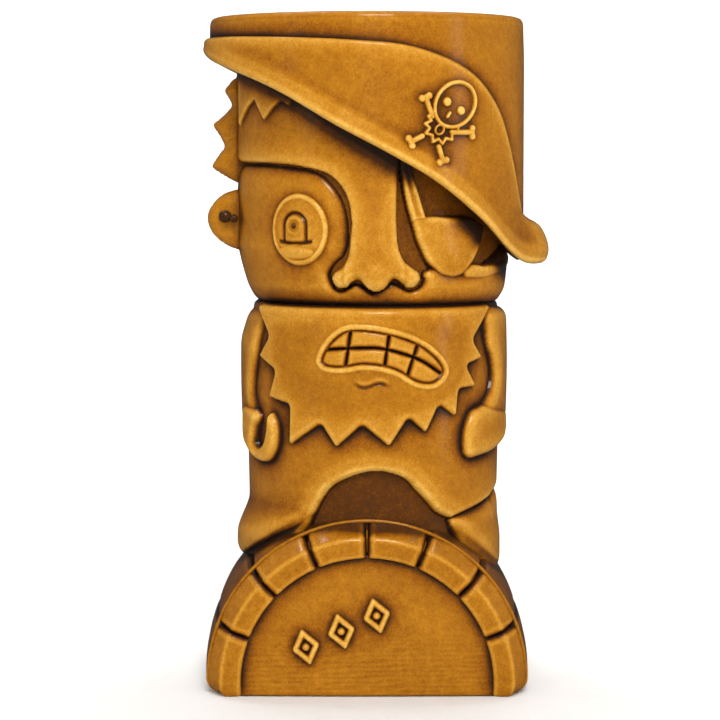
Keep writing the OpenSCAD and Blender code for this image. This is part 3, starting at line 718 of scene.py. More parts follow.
right_front = unrolled(curve([[-4.5, 125.8], [-0.3, 124.9], [5.5, 128.3], [10.6, 125.7], [14.2, 126.2],
                              [15.9, 128.8], [15.6, 131.0], [19, 132.8], [25, 131.4], [33, 132],
                              [36.5, 134.2]]), CHEEK_R)
right_round = at_angles([[66, 136], [80, 139], [100, 150], [160, 163], [180.4, 163], [180.4, 121.0]],
                        CHEEK_R)
right_cheek_loop = dense(np.concatenate([right_front, right_round, [[-4.5, 121.0]]]), 1.5)


def right_pad(u, z, d):
    width = 2.2 + 2.8 * ease(u, 15, 24)
    thick = 2.0 * rounded(d, width)
    low = ease(z, 119.6, 126)
    behind = 1 - ease(u, CHEEK_R * math.radians(100), CHEEK_R * math.radians(150))
    return np.where(d > 0, 0.32 + thick * (0.55 + 0.45 * low) * behind, 0.32 + d)


relief("right_cheek", right_cheek_loop, CHEEK_R, right_pad, margin=0.8, base=cheek_base, back=3)

# ---------------------------------------------------------------- left eye
# A ring, a flat eyeball, an arched iris cut in as a groove, a small pupil and a thick lower lid, each a
# thin pad of clay pressed on to the left cheek.

EYE_R = 43.0
EYE = np.array([EYE_R * math.asin(-23 / EYE_R), 144.5])


def eye_base(u, z):
    return head_base(z, u / EYE_R) + 1.85


def eye_piece(name, slot, node, loop, height, step, margin, back, keep=None):
    """A sheet over the left cheek: height(u, z, d) above it."""
    def shape(u, z, d):
        return on_wall(u, z, eye_base(u, z) + height(u, z, d), EYE_R)

    bm = sheet_of_clay(loop, shape, step, margin, keep)
    take(backed(bm, to_axis, back), name, slot, node)


def oval_loop(centre, half_w, half_h, count=72):
    a = np.linspace(0, 2 * np.pi, count, endpoint=False)
    return np.stack([centre[0] + half_w * np.cos(a), centre[1] + half_h * np.sin(a)], axis=1)


EYE_W = 10.4
EYE_H = 11.4
rim_loop = oval_loop(EYE, EYE_W, EYE_H)


def eye_ring(u, z, d):
    roll = 1.6 * np.sqrt(np.clip(1 - ((d - 1.25) / 1.25) ** 2, 0, 1))
    return np.where(d > 0, roll + 0.05, d * 1.5) - 0.2


eye_piece("eye_ring", "thin_glaze", "eye_rim", rim_loop, eye_ring, 0.3, 0.4, 1.2,
          keep=lambda u, z, d: (d > -0.4) & (d < 2.7))

ARCH_W = 4.0
arch_mid = EYE + np.array([-0.9, 1.2])


def from_arch(u, z):
    """Distance outside the arched outline of the iris."""
    du, dz = u - arch_mid[0], z - arch_mid[1]
    return np.where(dz > 0, np.hypot(du, dz), np.abs(du)) - ARCH_W


LID_Z = arch_mid[1] - 5.4


def ball(u, z, d):
    domed = 0.8 * np.clip(1 - ((u - EYE[0]) / EYE_W) ** 2 - ((z - EYE[1]) / EYE_H) ** 2, 0, 1)
    groove = -0.85 * np.exp(-(from_arch(u, z) / 0.55) ** 2) * ease(z, LID_Z - 0.4, LID_Z + 0.5)
    # the lower lid bulges below a curved slit
    slit_z = LID_Z + 0.06 * (u - arch_mid[0]) ** 2 * 0.3
    slit = -0.9 * np.exp(-((z - slit_z) / 0.55) ** 2) * ease(6.4 - np.abs(u - arch_mid[0]), 0, 0.8)
    return np.where(d > -0.8, 0.95 + domed + groove + slit, -0.6)


ball_loop = oval_loop(EYE, EYE_W - 2.0, EYE_H - 2.0)
eye_piece("eyeball", "honey_glaze", "eyeball", ball_loop, ball, 0.26, 0.5, 1.5)

iris_loop = oval_loop(arch_mid, ARCH_W - 1.1, ARCH_W - 0.9)


def iris(u, z, d):
    # a dark ring is pressed in round the pupil
    r = np.hypot(u - arch_mid[0], z - arch_mid[1])
    dip = -0.75 * np.exp(-((r - 1.25) / 0.55) ** 2)
    return np.where(d > 0, 1.75 + 0.25 * np.clip(d / 1.5, 0, 1) + dip, 1.5 + d)


eye_piece("iris", "honey_glaze", "iris", iris_loop, iris, 0.22, 0.4, 1.2)

for name, centre, half_w, half_h, height in (("pupil", arch_mid, 0.8, 0.9, 2.5),
                                             ("lower_lid", (arch_mid[0], LID_Z - 2.7), 6.6, 2.5, 1.75)):
    def spot(u, z, d, height=height, width=half_h):
        swell = height * 0.45 * rounded(d, width)
        return on_wall(u, z, eye_base(u, z) + height * 0.55 + swell + np.minimum(d, 0), EYE_R)

    bm = sheet_of_clay(oval_loop(centre, half_w, half_h, count=40), spot, 0.2, 0.3)
    take(backed(bm, to_axis, 1.2), name, "thin_glaze", name)

# ---------------------------------------------------------------- eye patch and straps
# A leather-like patch of thin clay hangs over the right socket from a band that comes down from under
# the hat; a narrow strap leads on round the cheek.

PATCH_R = 43.4
patch_points = [[11.6, 148.6], [18, 148.6], [31, 148.2], [35.4, 145.6], [34, 140], [31.4, 134],
                [28.6, 130.2], [25, 129.2], [20.8, 130.4], [17, 134.6], [13.8, 141]]
patch_loop = dense(soft(unrolled(patch_points, PATCH_R), 1.6), 0.7)


def patch(u, z, d):
    edge = 1.9 * rounded(d, 1.5)
    dome = 0.5 * ease(d, 1, 8)
    return np.where(d > 0, edge + dome, d * 1.4) - 0.35


def patch_base(u, z):
    return np.maximum(head_base(z, u / PATCH_R), 40.0) + 1.0


relief("eye_patch", patch_loop, PATCH_R, patch, 0.4, margin=0.6, base=patch_base)

strap_points = np.concatenate([curve([[16.6, 147.5], [14.6, 154], [12.6, 161.5], [12.2, 168], [12.2, 178]]),
                               curve([[7.6, 180], [7.8, 170], [8.4, 161], [10.3, 152.5], [12, 147]])])
strap_loop = dense(unrolled(strap_points, PATCH_R), 0.8)


def strap(u, z, d):
    band = 1.9 * rounded(d, 1.2) - 0.5 * ease(d, 1.1, 2.2)
    return np.where(d > 0, band, d * 1.4) - 0.1


relief("patch_strap", strap_loop, PATCH_R, strap, 0.4, margin=0.6, base=patch_base)

lower_strap = np.concatenate([unrolled([[28, 131.4], [30.6, 133.8], [35.5, 132.8]], PATCH_R),
                              at_angles([[70, 134.5], [95, 137], [95, 133], [70, 130]], PATCH_R),
                              unrolled([[35.5, 128.6], [29, 129]], PATCH_R)])
relief("patch_lower_strap", dense(soft(lower_strap, 1.5), 0.8), PATCH_R,
       lambda u, z, d: pad(d, 1.7, 1.8, 1.4), 0.5, margin=0.6,
       base=lambda u, z: head_base(z, u / PATCH_R) + 1.0)

# ---------------------------------------------------------------- ear, earring and hair
# The left ear is a flat half disc with two small beads pressed in beside it. Jagged hair stands out
# behind it in three spikes, hangs as a fringe on the forehead, and goes round the back as a zigzag.


def thick_plate(name, loop, step, y_front, y_back, edge, swell):
    """A plate standing out from the head: one sheet for the front, mirrored for the back, then joined."""
    low, high = loop.min(axis=0) - 0.3, loop.max(axis=0) + 0.3
    count = np.ceil((high - low) / step).astype(int)
    middle, half = (y_front + y_back) / 2, (y_back - y_front) / 2
    bm = bmesh.new()
    bmesh.ops.create_grid(bm, x_segments=int(count[0]), y_segments=int(count[1]), size=0.5)
    flat = low + (places(bm)[:, :2] + 0.5) * (high - low)
    d = distance_inside(flat, loop)
    # points near the outline are drawn on to it
    shift = 0.02
    grown = [distance_inside(flat + way, loop) - d for way in ((shift, 0), (0, shift))]
    slope = np.stack(grown, axis=1) / shift
    on_line = (d > -0.8 * step) & (d < 0.3 * step)
    flat[on_line] -= (slope * d[:, None])[on_line]
    d = np.where(on_line, 0, d)
    depth = middle - half + swell * (1 - rounded(d, edge))
    put(bm, np.stack([flat[:, 0], depth, flat[:, 1]], axis=1))
    out = [v for v, i in zip(bm.verts[:], d) if i < 0]
    bmesh.ops.delete(bm, geom=out, context="VERTS")
    bmesh.ops.delete(bm, geom=[v for v in bm.verts if not v.link_faces], context="VERTS")
    made = bmesh.ops.extrude_face_region(bm, geom=bm.faces[:], use_keep_orig=True)
    for g in made["geom"]:
        if isinstance(g, bmesh.types.BMVert):
            g.co.y = 2 * middle - g.co.y
    take(bm, name, "honey_glaze", name)


ear_points = curve([[-37, 157], [-42.5, 156.8], [-49, 154.4], [-53, 148.6], [-51.4, 142.4], [-45.5, 138],
                    [-37, 136]])
ear_loop = dense(ear_points + np.array([FIGURE_X, 0]), 0.8)
thick_plate("left_ear", ear_loop, 0.5, -7.5, 5, 4.2, 4.4)

ear_beads = bmesh.new()
for x, y, z, r in ((-47.2, -9.0, 148, 2.1), (-44.4, -10.2, 147.4, 1.4)):
    bead = bmesh.ops.create_icosphere(ear_beads, subdivisions=4, radius=r)
    bmesh.ops.translate(ear_beads, vec=(x + FIGURE_X, y, z), verts=bead["verts"])
take(ear_beads, "earring", "dark_glaze", "earring")

spikes = [[-36, 197], [-41, 194.4], [-45, 191.6], [-47.8, 188.2], [-45, 183.4], [-47.6, 180.4],
          [-51.6, 177.2], [-49, 173.4], [-47.4, 170.2], [-50, 167], [-52, 163.6], [-47, 160.4],
          [-41, 157.4], [-36, 157]]
spike_loop = dense(soft(np.array(spikes, float) + np.array([FIGURE_X, 0]), 1.2), 0.7)
thick_plate("left_hair", spike_loop, 0.5, -6, 9, 4.4, 5.0)

FRINGE_R = 44.6
fringe_points = [[-42.5, 176.4], [-41.6, 178.4], [-39.4, 182.4], [-37.3, 184.6], [-34.3, 178.2],
                 [-31, 182.2], [-28.6, 184], [-26.2, 182.4], [-24, 185.5], [-24, 196], [-42.5, 205]]
fringe_loop = dense(soft(unrolled(fringe_points, FRINGE_R), 0.5), 0.7)
relief("hair_fringe", fringe_loop, FRINGE_R, lambda u, z, d: pad(d, 1.3, 0.9, 1.5) - 0.2, 0.4, margin=0.5,
       base=lambda u, z: brow_base(u, z) + 2.4)

HAIR_R = 42.6
zigzag = [[101, 160]]
for n in range(1, 15):
    zigzag.append([100 + n * 160 / 15, 149 + (11 if n % 2 else -3) + 3 * math.sin(n)])
zigzag.append([259, 158])
back_line = dense(soft(at_angles(zigzag, HAIR_R), 2.0, closed=False), 0.8, closed=False)
hair_top = [[t, 150 + float(hat_edge(math.radians(t))) - 148] for t in range(262, 90, -6)]
hair_loop = np.concatenate([back_line, at_angles(hair_top, HAIR_R)])


def locks(u, z, d):
    return np.where(d > 0, 2.4 * rounded(d, 2) + 0.25 * np.sin(u * 0.55), d * 1.4) - 1.2


relief("back_hair", hair_loop, HAIR_R, locks, 0.65, margin=0.8, base=lambda u, z: head_base(z, u / HAIR_R))

# ---------------------------------------------------------------- hat
# The crown is the mug's drinking bowl: a round clay wall with a rolled rim and a ledge down to the head.
# A thick turned-up brim slants round it, front and rear alike, and comes to a blunt tip on the right.

CROWN_R = 50.5
BRIM_T = 1.3
upper_line = curve([[-52, 204.6], [-46, 204.4], [-35, 203.9], [-5, 202.4], [14, 200.4], [30.5, 194],
                    [40, 183.5], [45, 169.5], [49.2, 150], [52, 145.5]])


def brim_top(turn, radius=52):
    return np.interp(radius * np.sin(turn), upper_line[:, 0], upper_line[:, 1])


def line_of(*stops):
    """A closed line through [radius, code, points up to the next stop]."""
    out = []
    for (r, c, n), (r2, c2, _) in zip(stops, stops[1:] + stops[:1]):
        out += [[r + (r2 - r) * k / n, c + (c2 - c) * k / n] for k in range(n)]
    return out


def crown(turn, radius, code):
    # codes 0 to 1 run from the ledge up the wall, and 1 to 2 are the last 4 mm below the rim
    low = hat_edge(turn, radius) + 2
    under = RIM_Z - 4
    z = np.where(code <= 1, low + np.where(code < 0, 15, under - low) * code, under + (code - 1) * 4)
    waver = 0.12 * np.sin(2 * turn + 0.7) + 0.08 * np.sin(3 * turn)
    slim = 0.3 * ease(z, RIM_Z - 14, RIM_Z - 2)
    return round_figure(turn, radius - slim + waver, z, 0.0)


OUT = CROWN_R
IN = CROWN_R - 4.5
bowl = line_of([OUT, 0.0, 90], [OUT, 1.0, 4], [OUT, 1.4, 3], [OUT - 0.25, 1.72, 3], [OUT - 0.9, 1.92, 3],
               [OUT - 1.8, 2.0, 3], [IN + 1.8, 2.0, 3], [IN + 0.9, 1.92, 3], [IN + 0.25, 1.72, 3],
               [IN, 1.4, 4], [IN, 1.0, 60], [IN, 0.12, 4], [IN - 0.7, 0.06, 8], [37.6, 0.03, 3],
               [36.9, -0.02, 4], [36.9, -0.1, 12], [OUT - 2, -0.1, 4])
take(turned(bowl, 460, crown), "hat_crown", "honey_glaze", "hat_crown")


def edge_curl(z, low):
    """The brim's lower edge curls out."""
    return 0.8 * ease(-z, -(low + 9), -(low + 1))


def brim(turn, radius, code):
    # codes 0 to 3 are millimetres up from the lower edge, 3 to 4 the face, 4 to 6 the last 2 mm
    low, top = hat_edge(turn, radius), brim_top(turn, radius)
    face = low + 3 + (top - low - 5) * (code - 3)
    z = np.where(code <= 3, low + code, np.where(code <= 4, face, top - 6 + code))
    s = np.clip((z - 131) / 18, 0, 1)
    near = np.degrees(np.angle(np.exp(1j * (turn - math.pi / 2))))
    out = np.clip((radius - 46) / 5, 0, 1)
    tip = 6.6 * np.exp(-(near / 15) ** 2) * np.sin(np.pi * s ** 0.72) ** 0.75 * out
    curl = edge_curl(z, low) * ease(np.cos(turn), -0.4, 0.4) * out
    return round_figure(turn, radius + tip + curl, z, 0.0)


FACE = CROWN_R + BRIM_T
brim_line = line_of([40.5, 2.2, 6], [43, 1.1, 5], [46.5, 0.4, 4], [FACE - 2.8, 0.0, 3],
                    [FACE - 1.5, 0.1, 2], [FACE - 0.6, 0.5, 2], [FACE, 1.2, 2], [FACE + 0.15, 2.0, 2],
                    [FACE, 3.0, 90], [FACE, 4.0, 3], [FACE, 4.9, 2], [FACE - 0.2, 5.4, 2],
                    [FACE - 0.6, 5.8, 2], [FACE - 1.1, 5.95, 2], [FACE - 1.6, 5.6, 2], [FACE - 1.9, 5.0, 2],
                    [FACE - 2.1, 4.0, 30], [FACE - 2.2, 3.0, 5], [46, 3.0, 8])
take(turned(brim_line, 480, brim), "hat_brim", "honey_glaze", "hat_brim_front", "hat_brim_back")

# ---------------------------------------------------------------- hat emblem
# A plain skull above two crossed bones, drawn on the brim in thin raised lines of clay, all leaning to
# the right with the brim.

EMBLEM_R = FACE


def from_strokes(u, z, strokes):
    """The radius of the nearest stroke less the distance to it; a stroke is two ends and a radius."""
    best = np.full(len(u), -1e9)
    at = np.stack([u, z], axis=1)
    for a, b, r in strokes:
        a, b = np.array(a, float), np.array(b, float)
        edge = b - a
        t = np.clip(((at - a) @ edge) / max(1e-9, edge @ edge), 0, 1)
        best = np.maximum(best, r - np.hypot(*(at - a - t[:, None] * edge).T))
    return best


def lean(points, centre, turn):
    c, s = math.cos(math.radians(turn)), math.sin(math.radians(turn))
    p = np.asarray(points, float)
    return np.stack([centre[0] + p[:, 0] * c - p[:, 1] * s, centre[1] + p[:, 0] * s + p[:, 1] * c], axis=1)


def chain(points, r, closed=True):
    ends = np.roll(points, -1, axis=0) if closed else points[1:]
    return [(a, b, r) for a, b in zip(points, ends)]


def on_brim(points):
    return unrolled(points, EMBLEM_R)


def drawn(name, strokes, low, high, height):
    """Raised lines of clay within a box on the brim, given by its low and high corner."""
    box = on_brim([[low[0], low[1]], [low[0], high[1]], [high[0], high[1]], [high[0], low[1]]])

    def shape(u, z, d):
        f = from_strokes(u, z, strokes)
        curl = edge_curl(z, hat_edge(u / EMBLEM_R))
        return on_wall(u, z, EMBLEM_R + curl - 0.12 + pad(f, height, 0.8, 1.2), EMBLEM_R, 0.0)

    bm = sheet_of_clay(box, shape, 0.26, 0, keep=lambda u, z, d: from_strokes(u, z, strokes) > -0.3)
    take(backed(bm, to_axis, 0.8), name, "thin_glaze", name)


skull_at, skull_turn = (26.6, 182.8), -32
dome = lean(oval_loop((0, 0), 5.9, 7.2, 28), skull_at, skull_turn)
jaw = lean([[-4.4, -5.2], [-5.0, -7.4], [-3.6, -8.0], [-4.6, -9.8], [-2.8, -10.2], [-3.0, -12.2],
            [-1.0, -11.6], [0.2, -13.2], [1.2, -11.6], [3.0, -12.2], [3.0, -10.2], [4.8, -9.6], [3.8, -8],
            [5.0, -7.2], [4.4, -5.2]], skull_at, skull_turn)
mouth_dot = lean(oval_loop((0, 0), 1.25, 1.5, 12) + np.array([0, -9.0]), skull_at, skull_turn)
skull = chain(on_brim(dome), 0.75) + chain(on_brim(jaw), 0.62, closed=False)
skull += chain(on_brim(mouth_dot), 0.45)
for x in (-2.5, 2.5):
    eye = on_brim(lean([[x, -0.6]], skull_at, skull_turn))[0]
    skull.append((eye, eye + 0.01, 1.5))
nose = on_brim(lean([[0, -3.0], [0, -4.4]], skull_at, skull_turn))
skull.append((nose[0], nose[1], 0.6))
drawn("emblem_skull", skull, (14, 168), (37, 192), 1.15)

# four bone ends stick out from behind the skull, each with two knuckles on its outer end
bones = []
crossing = on_brim([(22, 175)])[0]
for a, b in (((17.6, 185.0), (19.6, 179.2)), ((21.6, 170.0), (22.9, 165.6)), ((13.0, 171.4), (16.6, 173.2)),
             ((25.6, 174.4), (32.0, 174.4))):
    a, b = on_brim([a])[0], on_brim([b])[0]
    bones.append((a, b, 0.95))
    outer = a if np.hypot(*(a - crossing)) > np.hypot(*(b - crossing)) else b
    along = (b - a) / np.hypot(*(b - a))
    across = np.array([-along[1], along[0]])
    for way in (1, -1):
        bones.append((outer + way * across * 1.15, outer + way * across * 1.2, 1.2))
drawn("emblem_bones", bones, (9, 161), (37, 189), 1.15)

# ---------------------------------------------------------------- glaze
# One honey glaze was poured over the whole mug. It runs thin and pale on every raised edge and pools brown
# to nearly black in every hollow. The same darkening also paints shade under overhangs, in deep recesses
# and where parts meet, so each piece carries how far it lies below what is round it.


def blurred(field, known, spread):
    """A map smoothed by a bell of that many cells, from the cells that are known."""
    reach = int(math.ceil(spread * 3))
    bell = np.exp(-0.5 * (np.arange(-reach, reach + 1) / spread) ** 2)
    total, weight = field * known, known.astype(float)
    for axis in (0, 1):
        total = np.apply_along_axis(lambda row: np.convolve(row, bell, "same"), axis, total)
        weight = np.apply_along_axis(lambda row: np.convolve(row, bell, "same"), axis, weight)
    return total / np.maximum(weight, 1e-9)


def below_surroundings(u, v, height, use, cell=0.7, spreads=(1.4, 4.5)):
    """How far each point lies below the smoothed surface, near by and farther round."""
    low = np.array([u[use].min(), v[use].min()]) - 6
    i = ((u - low[0]) / cell).astype(int)
    j = ((v - low[1]) / cell).astype(int)
    shape = (int((u[use].max() - low[0] + 6) / cell) + 2, int((v[use].max() - low[1] + 6) / cell) + 2)
    i, j = np.clip(i, 0, shape[0] - 1), np.clip(j, 0, shape[1] - 1)
    top = np.full(shape, -1e9)
    np.maximum.at(top, (i[use], j[use]), height[use])
    known = top > -1e8
    fx = np.clip((u - low[0]) / cell - 0.5, 0, shape[0] - 1.001)
    fy = np.clip((v - low[1]) / cell - 0.5, 0, shape[1] - 1.001)
    i, j = fx.astype(int), fy.astype(int)
    fx, fy = fx - i, fy - j
    out = []
    for spread in spreads:
        m = blurred(top, known, spread)
        between = ((m[i, j] * (1 - fx) + m[i + 1, j] * fx) * (1 - fy)
                   + (m[i, j + 1] * (1 - fx) + m[i + 1, j + 1] * fx) * fy)
        out.append(between - height)
    return out


every = [np.empty(len(o.data.vertices) * 3, np.float32) for o in glazed]
facing = [np.empty(len(o.data.vertices) * 3, np.float32) for o in glazed]
for piece, co, no in zip(glazed, every, facing):
    piece.data.vertices.foreach_get("co", co)
    piece.data.vertices.foreach_get("normal", no)
count = [len(c) // 3 for c in every]
co = np.concatenate(every).reshape(-1, 3).astype(float) / MM
no = np.concatenate(facing).reshape(-1, 3).astype(float)


def of_pieces(names):
    """True at every vertex of the pieces whose names start like that."""
    return np.concatenate([np.full(n, piece.name.startswith(names)) for n, piece in zip(count, glazed)])


on_barrel = of_pieces(("stave", "front_head", "rear_head", "front_bead", "rear_bead", "lozenge"))
# two maps of darkness, near by and farther round: glaze pooled in creases and hollows, and painted shade
# under overhangs and where parts meet
crease_pool_and_shade, hollow = np.zeros(len(co)), np.zeros(len(co))

# figure: laid out flat round its own axis
FIGURE_MAP_R = 42
x, y, z = co[:, 0] - FIGURE_X, co[:, 1], co[:, 2]
radius = np.hypot(x, y)
turn = np.arctan2(x, -y)
outward = (no[:, 0] * x + no[:, 1] * y) / np.maximum(radius, 1e-6) > -0.2
walls = ~on_barrel & outward & (radius > 34)
again = np.flatnonzero(walls & (np.abs(turn) > 2.8))            # the map joins up behind
wrapped_turn = turn[again] - 2 * math.pi * np.sign(turn[again])
near, far = below_surroundings(np.append(turn, wrapped_turn) * FIGURE_MAP_R, np.append(z, z[again]),
                               np.append(radius, radius[again]), np.append(walls, walls[again]))
near, far = near[:len(z)], far[:len(z)]
mine = ~on_barrel
crease_pool_and_shade[mine], hollow[mine] = near[mine], far[mine]
# the barrel and the figure shade each other where they meet
barrel_top = AXIS_Z + 2.2 + np.sqrt(np.maximum(0, BARREL_R ** 2 - co[:, 0] ** 2))
reach_down = np.clip(1 - (z - barrel_top) / 2.2, 0, 1)
foot = mine & (radius > 35) & (z < 62)
crease_pool_and_shade[foot] += 0.7 * reach_down[foot] ** 2
hollow[foot] += 0.8 * reach_down[foot] ** 2

# small trim is looked at again more closely
for names in (("eye_ring", "eyeball", "iris", "pupil", "lower_lid"), ("tooth", "mouth_rim")):
    small = of_pieces(names) & outward
    near, far = below_surroundings(turn[small] * FIGURE_MAP_R, z[small], radius[small],
                                   np.ones(small.sum(), bool), 0.33)
    crease_pool_and_shade[small] = np.maximum(crease_pool_and_shade[small], 1.9 * near) - 0.1
# flat plates at the side of the head are dark only where they spring from it
plates = of_pieces(("left_ear", "left_hair"))
from_head = np.clip(radius[plates] - 43.4, 0, 50)
crease_pool_and_shade[plates] = 0.5 * np.exp(-from_head / 0.8) - 0.15
hollow[plates] = 0.3 * np.exp(-from_head / 2.6)

# barrel: its front and rear faces are laid out flat, and its back is laid out round its own axis
BARREL_MAP_R = 51
barrel_turn = np.arctan2(co[:, 2] - AXIS_Z, co[:, 0])
barrel_radius = np.hypot(co[:, 0], co[:, 2] - AXIS_Z)
for side in (-1, 1):
    face = on_barrel & (side * no[:, 1] > 0.1) & (side * y > 36)
    near, far = below_surroundings(co[:, 0], z, side * y, face)
    chosen = face & (side * no[:, 1] > 0.35)
    crease_pool_and_shade[chosen], hollow[chosen] = near[chosen], far[chosen]
around = on_barrel & (barrel_radius > HEAD_R + 4)
near, far = below_surroundings(barrel_turn * BARREL_MAP_R, y, barrel_radius, around)
chosen = around & (np.abs(no[:, 1]) <= 0.35)
crease_pool_and_shade[chosen], hollow[chosen] = near[chosen], far[chosen]

# staves: dark in the joints and behind the bead, bare on the pressed edges; their outer faces behind
# the ends carry a painted shade
staves = of_pieces("stave")
angle = np.degrees(barrel_turn)
to_joint = np.min([np.abs(angle - 90 - STAVE_PITCH * k) for k in range(-3, 4)], axis=0)
to_joint = to_joint * math.radians(1) * barrel_radius
ends = np.clip((np.abs(y) - 36) / 3, 0, 1)
drawn_in = 1.5 * np.exp(-(to_joint / 0.75) ** 2) - 0.42 * np.exp(-((to_joint - 1.9) / 0.75) ** 2)
ridge = -0.45 * np.exp(-((barrel_radius - HEAD_R - 6.3) / 0.6) ** 2) * ends
inner_edge = -0.4 * np.exp(-((barrel_radius - HEAD_R - 0.9) / 0.6) ** 2) * ends
behind_bead = 0.45 * np.exp(-((np.abs(y) - 37.2) / 0.8) ** 2) * (barrel_radius > HEAD_R + 7)
crease_pool_and_shade[staves] = (drawn_in + ridge + inner_edge + behind_bead)[staves]
hollow[staves] = (0.25 * np.exp(-(to_joint / 2.6) ** 2) + 0.5 * (1 - ends))[staves]
# painted shadow of the figure on the staves just below the coat
near_coat = staves & (z > 30) & (np.abs(y) < 44)
hollow[near_coat] += 2.0 * np.exp(-(np.clip(radius[near_coat] - COAT_R, 0, 50) / 2.4) ** 2)

# pieces that are dark or pale all over, and the wall behind the head's pads; the pot wall's darkness is
# partly painted shade of the recess behind the arch
for name, deeper in (("pot_wall", 0.45), ("pupil", 1.1), ("earring", 0.7), ("front_bead", 0.2),
                     ("rear_bead", 0.2)):
    chosen = of_pieces(name)
    crease_pool_and_shade[chosen], hollow[chosen] = deeper, 0
under = of_pieces("head_wall")
crease_pool_and_shade[under], hollow[under] = np.clip(crease_pool_and_shade[under], -0.2, 0.12), np.clip(hollow[under], -0.3, 0.15)

# the bowl's inside grows darker towards its floor; its rim is bare, and the neck groove is held back
is_crown = of_pieces("hat_crown")
inside = mine & (~outward & (radius < 47) | is_crown & (np.hypot(co[:, 0], y) < CROWN_R - 3))
crease_pool_and_shade[inside] = 0.05
hollow[inside] = (0.25 + 0.6 * np.clip((200 - z) / 140, 0, 1))[inside]
rim = is_crown & (z > RIM_Z - 2) & (no[:, 2] > 0.2)
crease_pool_and_shade[rim], hollow[rim] = -0.1, 0
neck = mine & ~inside & (np.abs(z - NECK_Z - 0.5) < 4.5)
crease_pool_and_shade[neck] *= 0.6
hollow[neck] *= 0.6

start = 0
for piece, n in zip(glazed, count):
    for name, values in (("crease_pool_and_shade", crease_pool_and_shade), ("hollow", hollow)):
        layer = piece.data.attributes.new(name, "FLOAT", "POINT")
        layer.data.foreach_set("value", values[start:start + n].astype(np.float32))
    start += n


def feed(tree, entry, value):
    if isinstance(value, bpy.types.NodeSocket):
        tree.links.new(value, entry)
    else:
        entry.default_value = value


def node(tree, kind, **inputs):
    """A shader node whose named inputs are set or linked."""
    made = tree.nodes.new(kind)
    for key, value in inputs.items():
        feed(tree, made.inputs[key], value)
    return made


def math_node(tree, kind, a, b=0.0, c=0.0):
    made = tree.nodes.new("ShaderNodeMath")
    made.operation = kind
    for entry, value in zip(made.inputs, (a, b, c)):
        feed(tree, entry, value)
    return made.outputs[0]


def limited(tree, value, gain, low, high):
    """The value times gain, held between low and high."""
    scaled = math_node(tree, "MULTIPLY", value, gain)
    return math_node(tree, "MINIMUM", math_node(tree, "MAXIMUM", scaled, low), high)


# from bare raised edges to the deepest pools and the darkest painted shade
GLAZE_STOPS = [(0.00, (0.78, 0.47, 0.10, 1)),
               (0.16, (0.60, 0.29, 0.035, 1)),
               (0.34, (0.43, 0.168, 0.008, 1)),
               (0.52, (0.25, 0.078, 0.003, 1)),
               (0.70, (0.105, 0.032, 0.004, 1)),
               (0.86, (0.046, 0.018, 0.007, 1)),
               (1.00, (0.022, 0.011, 0.008, 1))]


def glaze_group():
    group = bpy.data.node_groups.new("glaze_and_painted_shade", "ShaderNodeTree")
    group.interface.new_socket("Depth", in_out="INPUT", socket_type="NodeSocketFloat")
    group.interface.new_socket("Colour", in_out="OUTPUT", socket_type="NodeSocketColor")
    group.interface.new_socket("Roughness", in_out="OUTPUT", socket_type="NodeSocketFloat")
    group.interface.new_socket("Height", in_out="OUTPUT", socket_type="NodeSocketFloat")
    enter = group.nodes.new("NodeGroupInput")
    leave = group.nodes.new("NodeGroupOutput")
    place = group.nodes.new("ShaderNodeTexCoord").outputs["Object"]
    # the two maps darken the colour with pooled glaze and painted shade
    crease_pool_and_shade = node(group, "ShaderNodeAttribute")
    crease_pool_and_shade.attribute_name = "crease_pool_and_shade"
    hollow = node(group, "ShaderNodeAttribute")
    hollow.attribute_name = "hollow"
    noises = [node(group, "ShaderNodeTexNoise", Vector=place, Scale=scale, Detail=detail, Roughness=rough)
              for scale, detail, rough in ((55.0, 3.0, 0.55), (420.0, 4.0, 0.6), (1500.0, 2.0, 0.6))]
    cloud, mottle, speck = [noise.outputs[0] for noise in noises]
    near = limited(group, crease_pool_and_shade.outputs["Fac"], 0.42, -0.20, 0.42)
    far = limited(group, hollow.outputs["Fac"], 0.34, -0.12, 0.40)
    depth = math_node(group, "ADD", math_node(group, "ADD", near, far), enter.outputs["Depth"])
    for noise, swing in ((cloud, 0.16), (mottle, 0.22), (speck, 0.30)):
        depth = math_node(group, "ADD", depth, math_node(group, "MULTIPLY_ADD", noise, swing, -swing / 2))
    ramp = group.nodes.new("ShaderNodeValToRGB")
    while len(ramp.color_ramp.elements) < len(GLAZE_STOPS):
        ramp.color_ramp.elements.new(0.5)
    for element, (at, colour) in zip(ramp.color_ramp.elements, GLAZE_STOPS):
        element.position = at
        element.color = colour
    group.links.new(depth, ramp.inputs[0])
    group.links.new(ramp.outputs[0], leave.inputs["Colour"])
    rough = math_node(group, "MULTIPLY_ADD", mottle, 0.16, 0.30)
    group.links.new(rough, leave.inputs["Roughness"])
    height = math_node(group, "ADD", cloud, math_node(group, "MULTIPLY", mottle, 0.10))
    group.links.new(height, leave.inputs["Height"])
    return group


glaze_and_painted_shade = glaze_group()


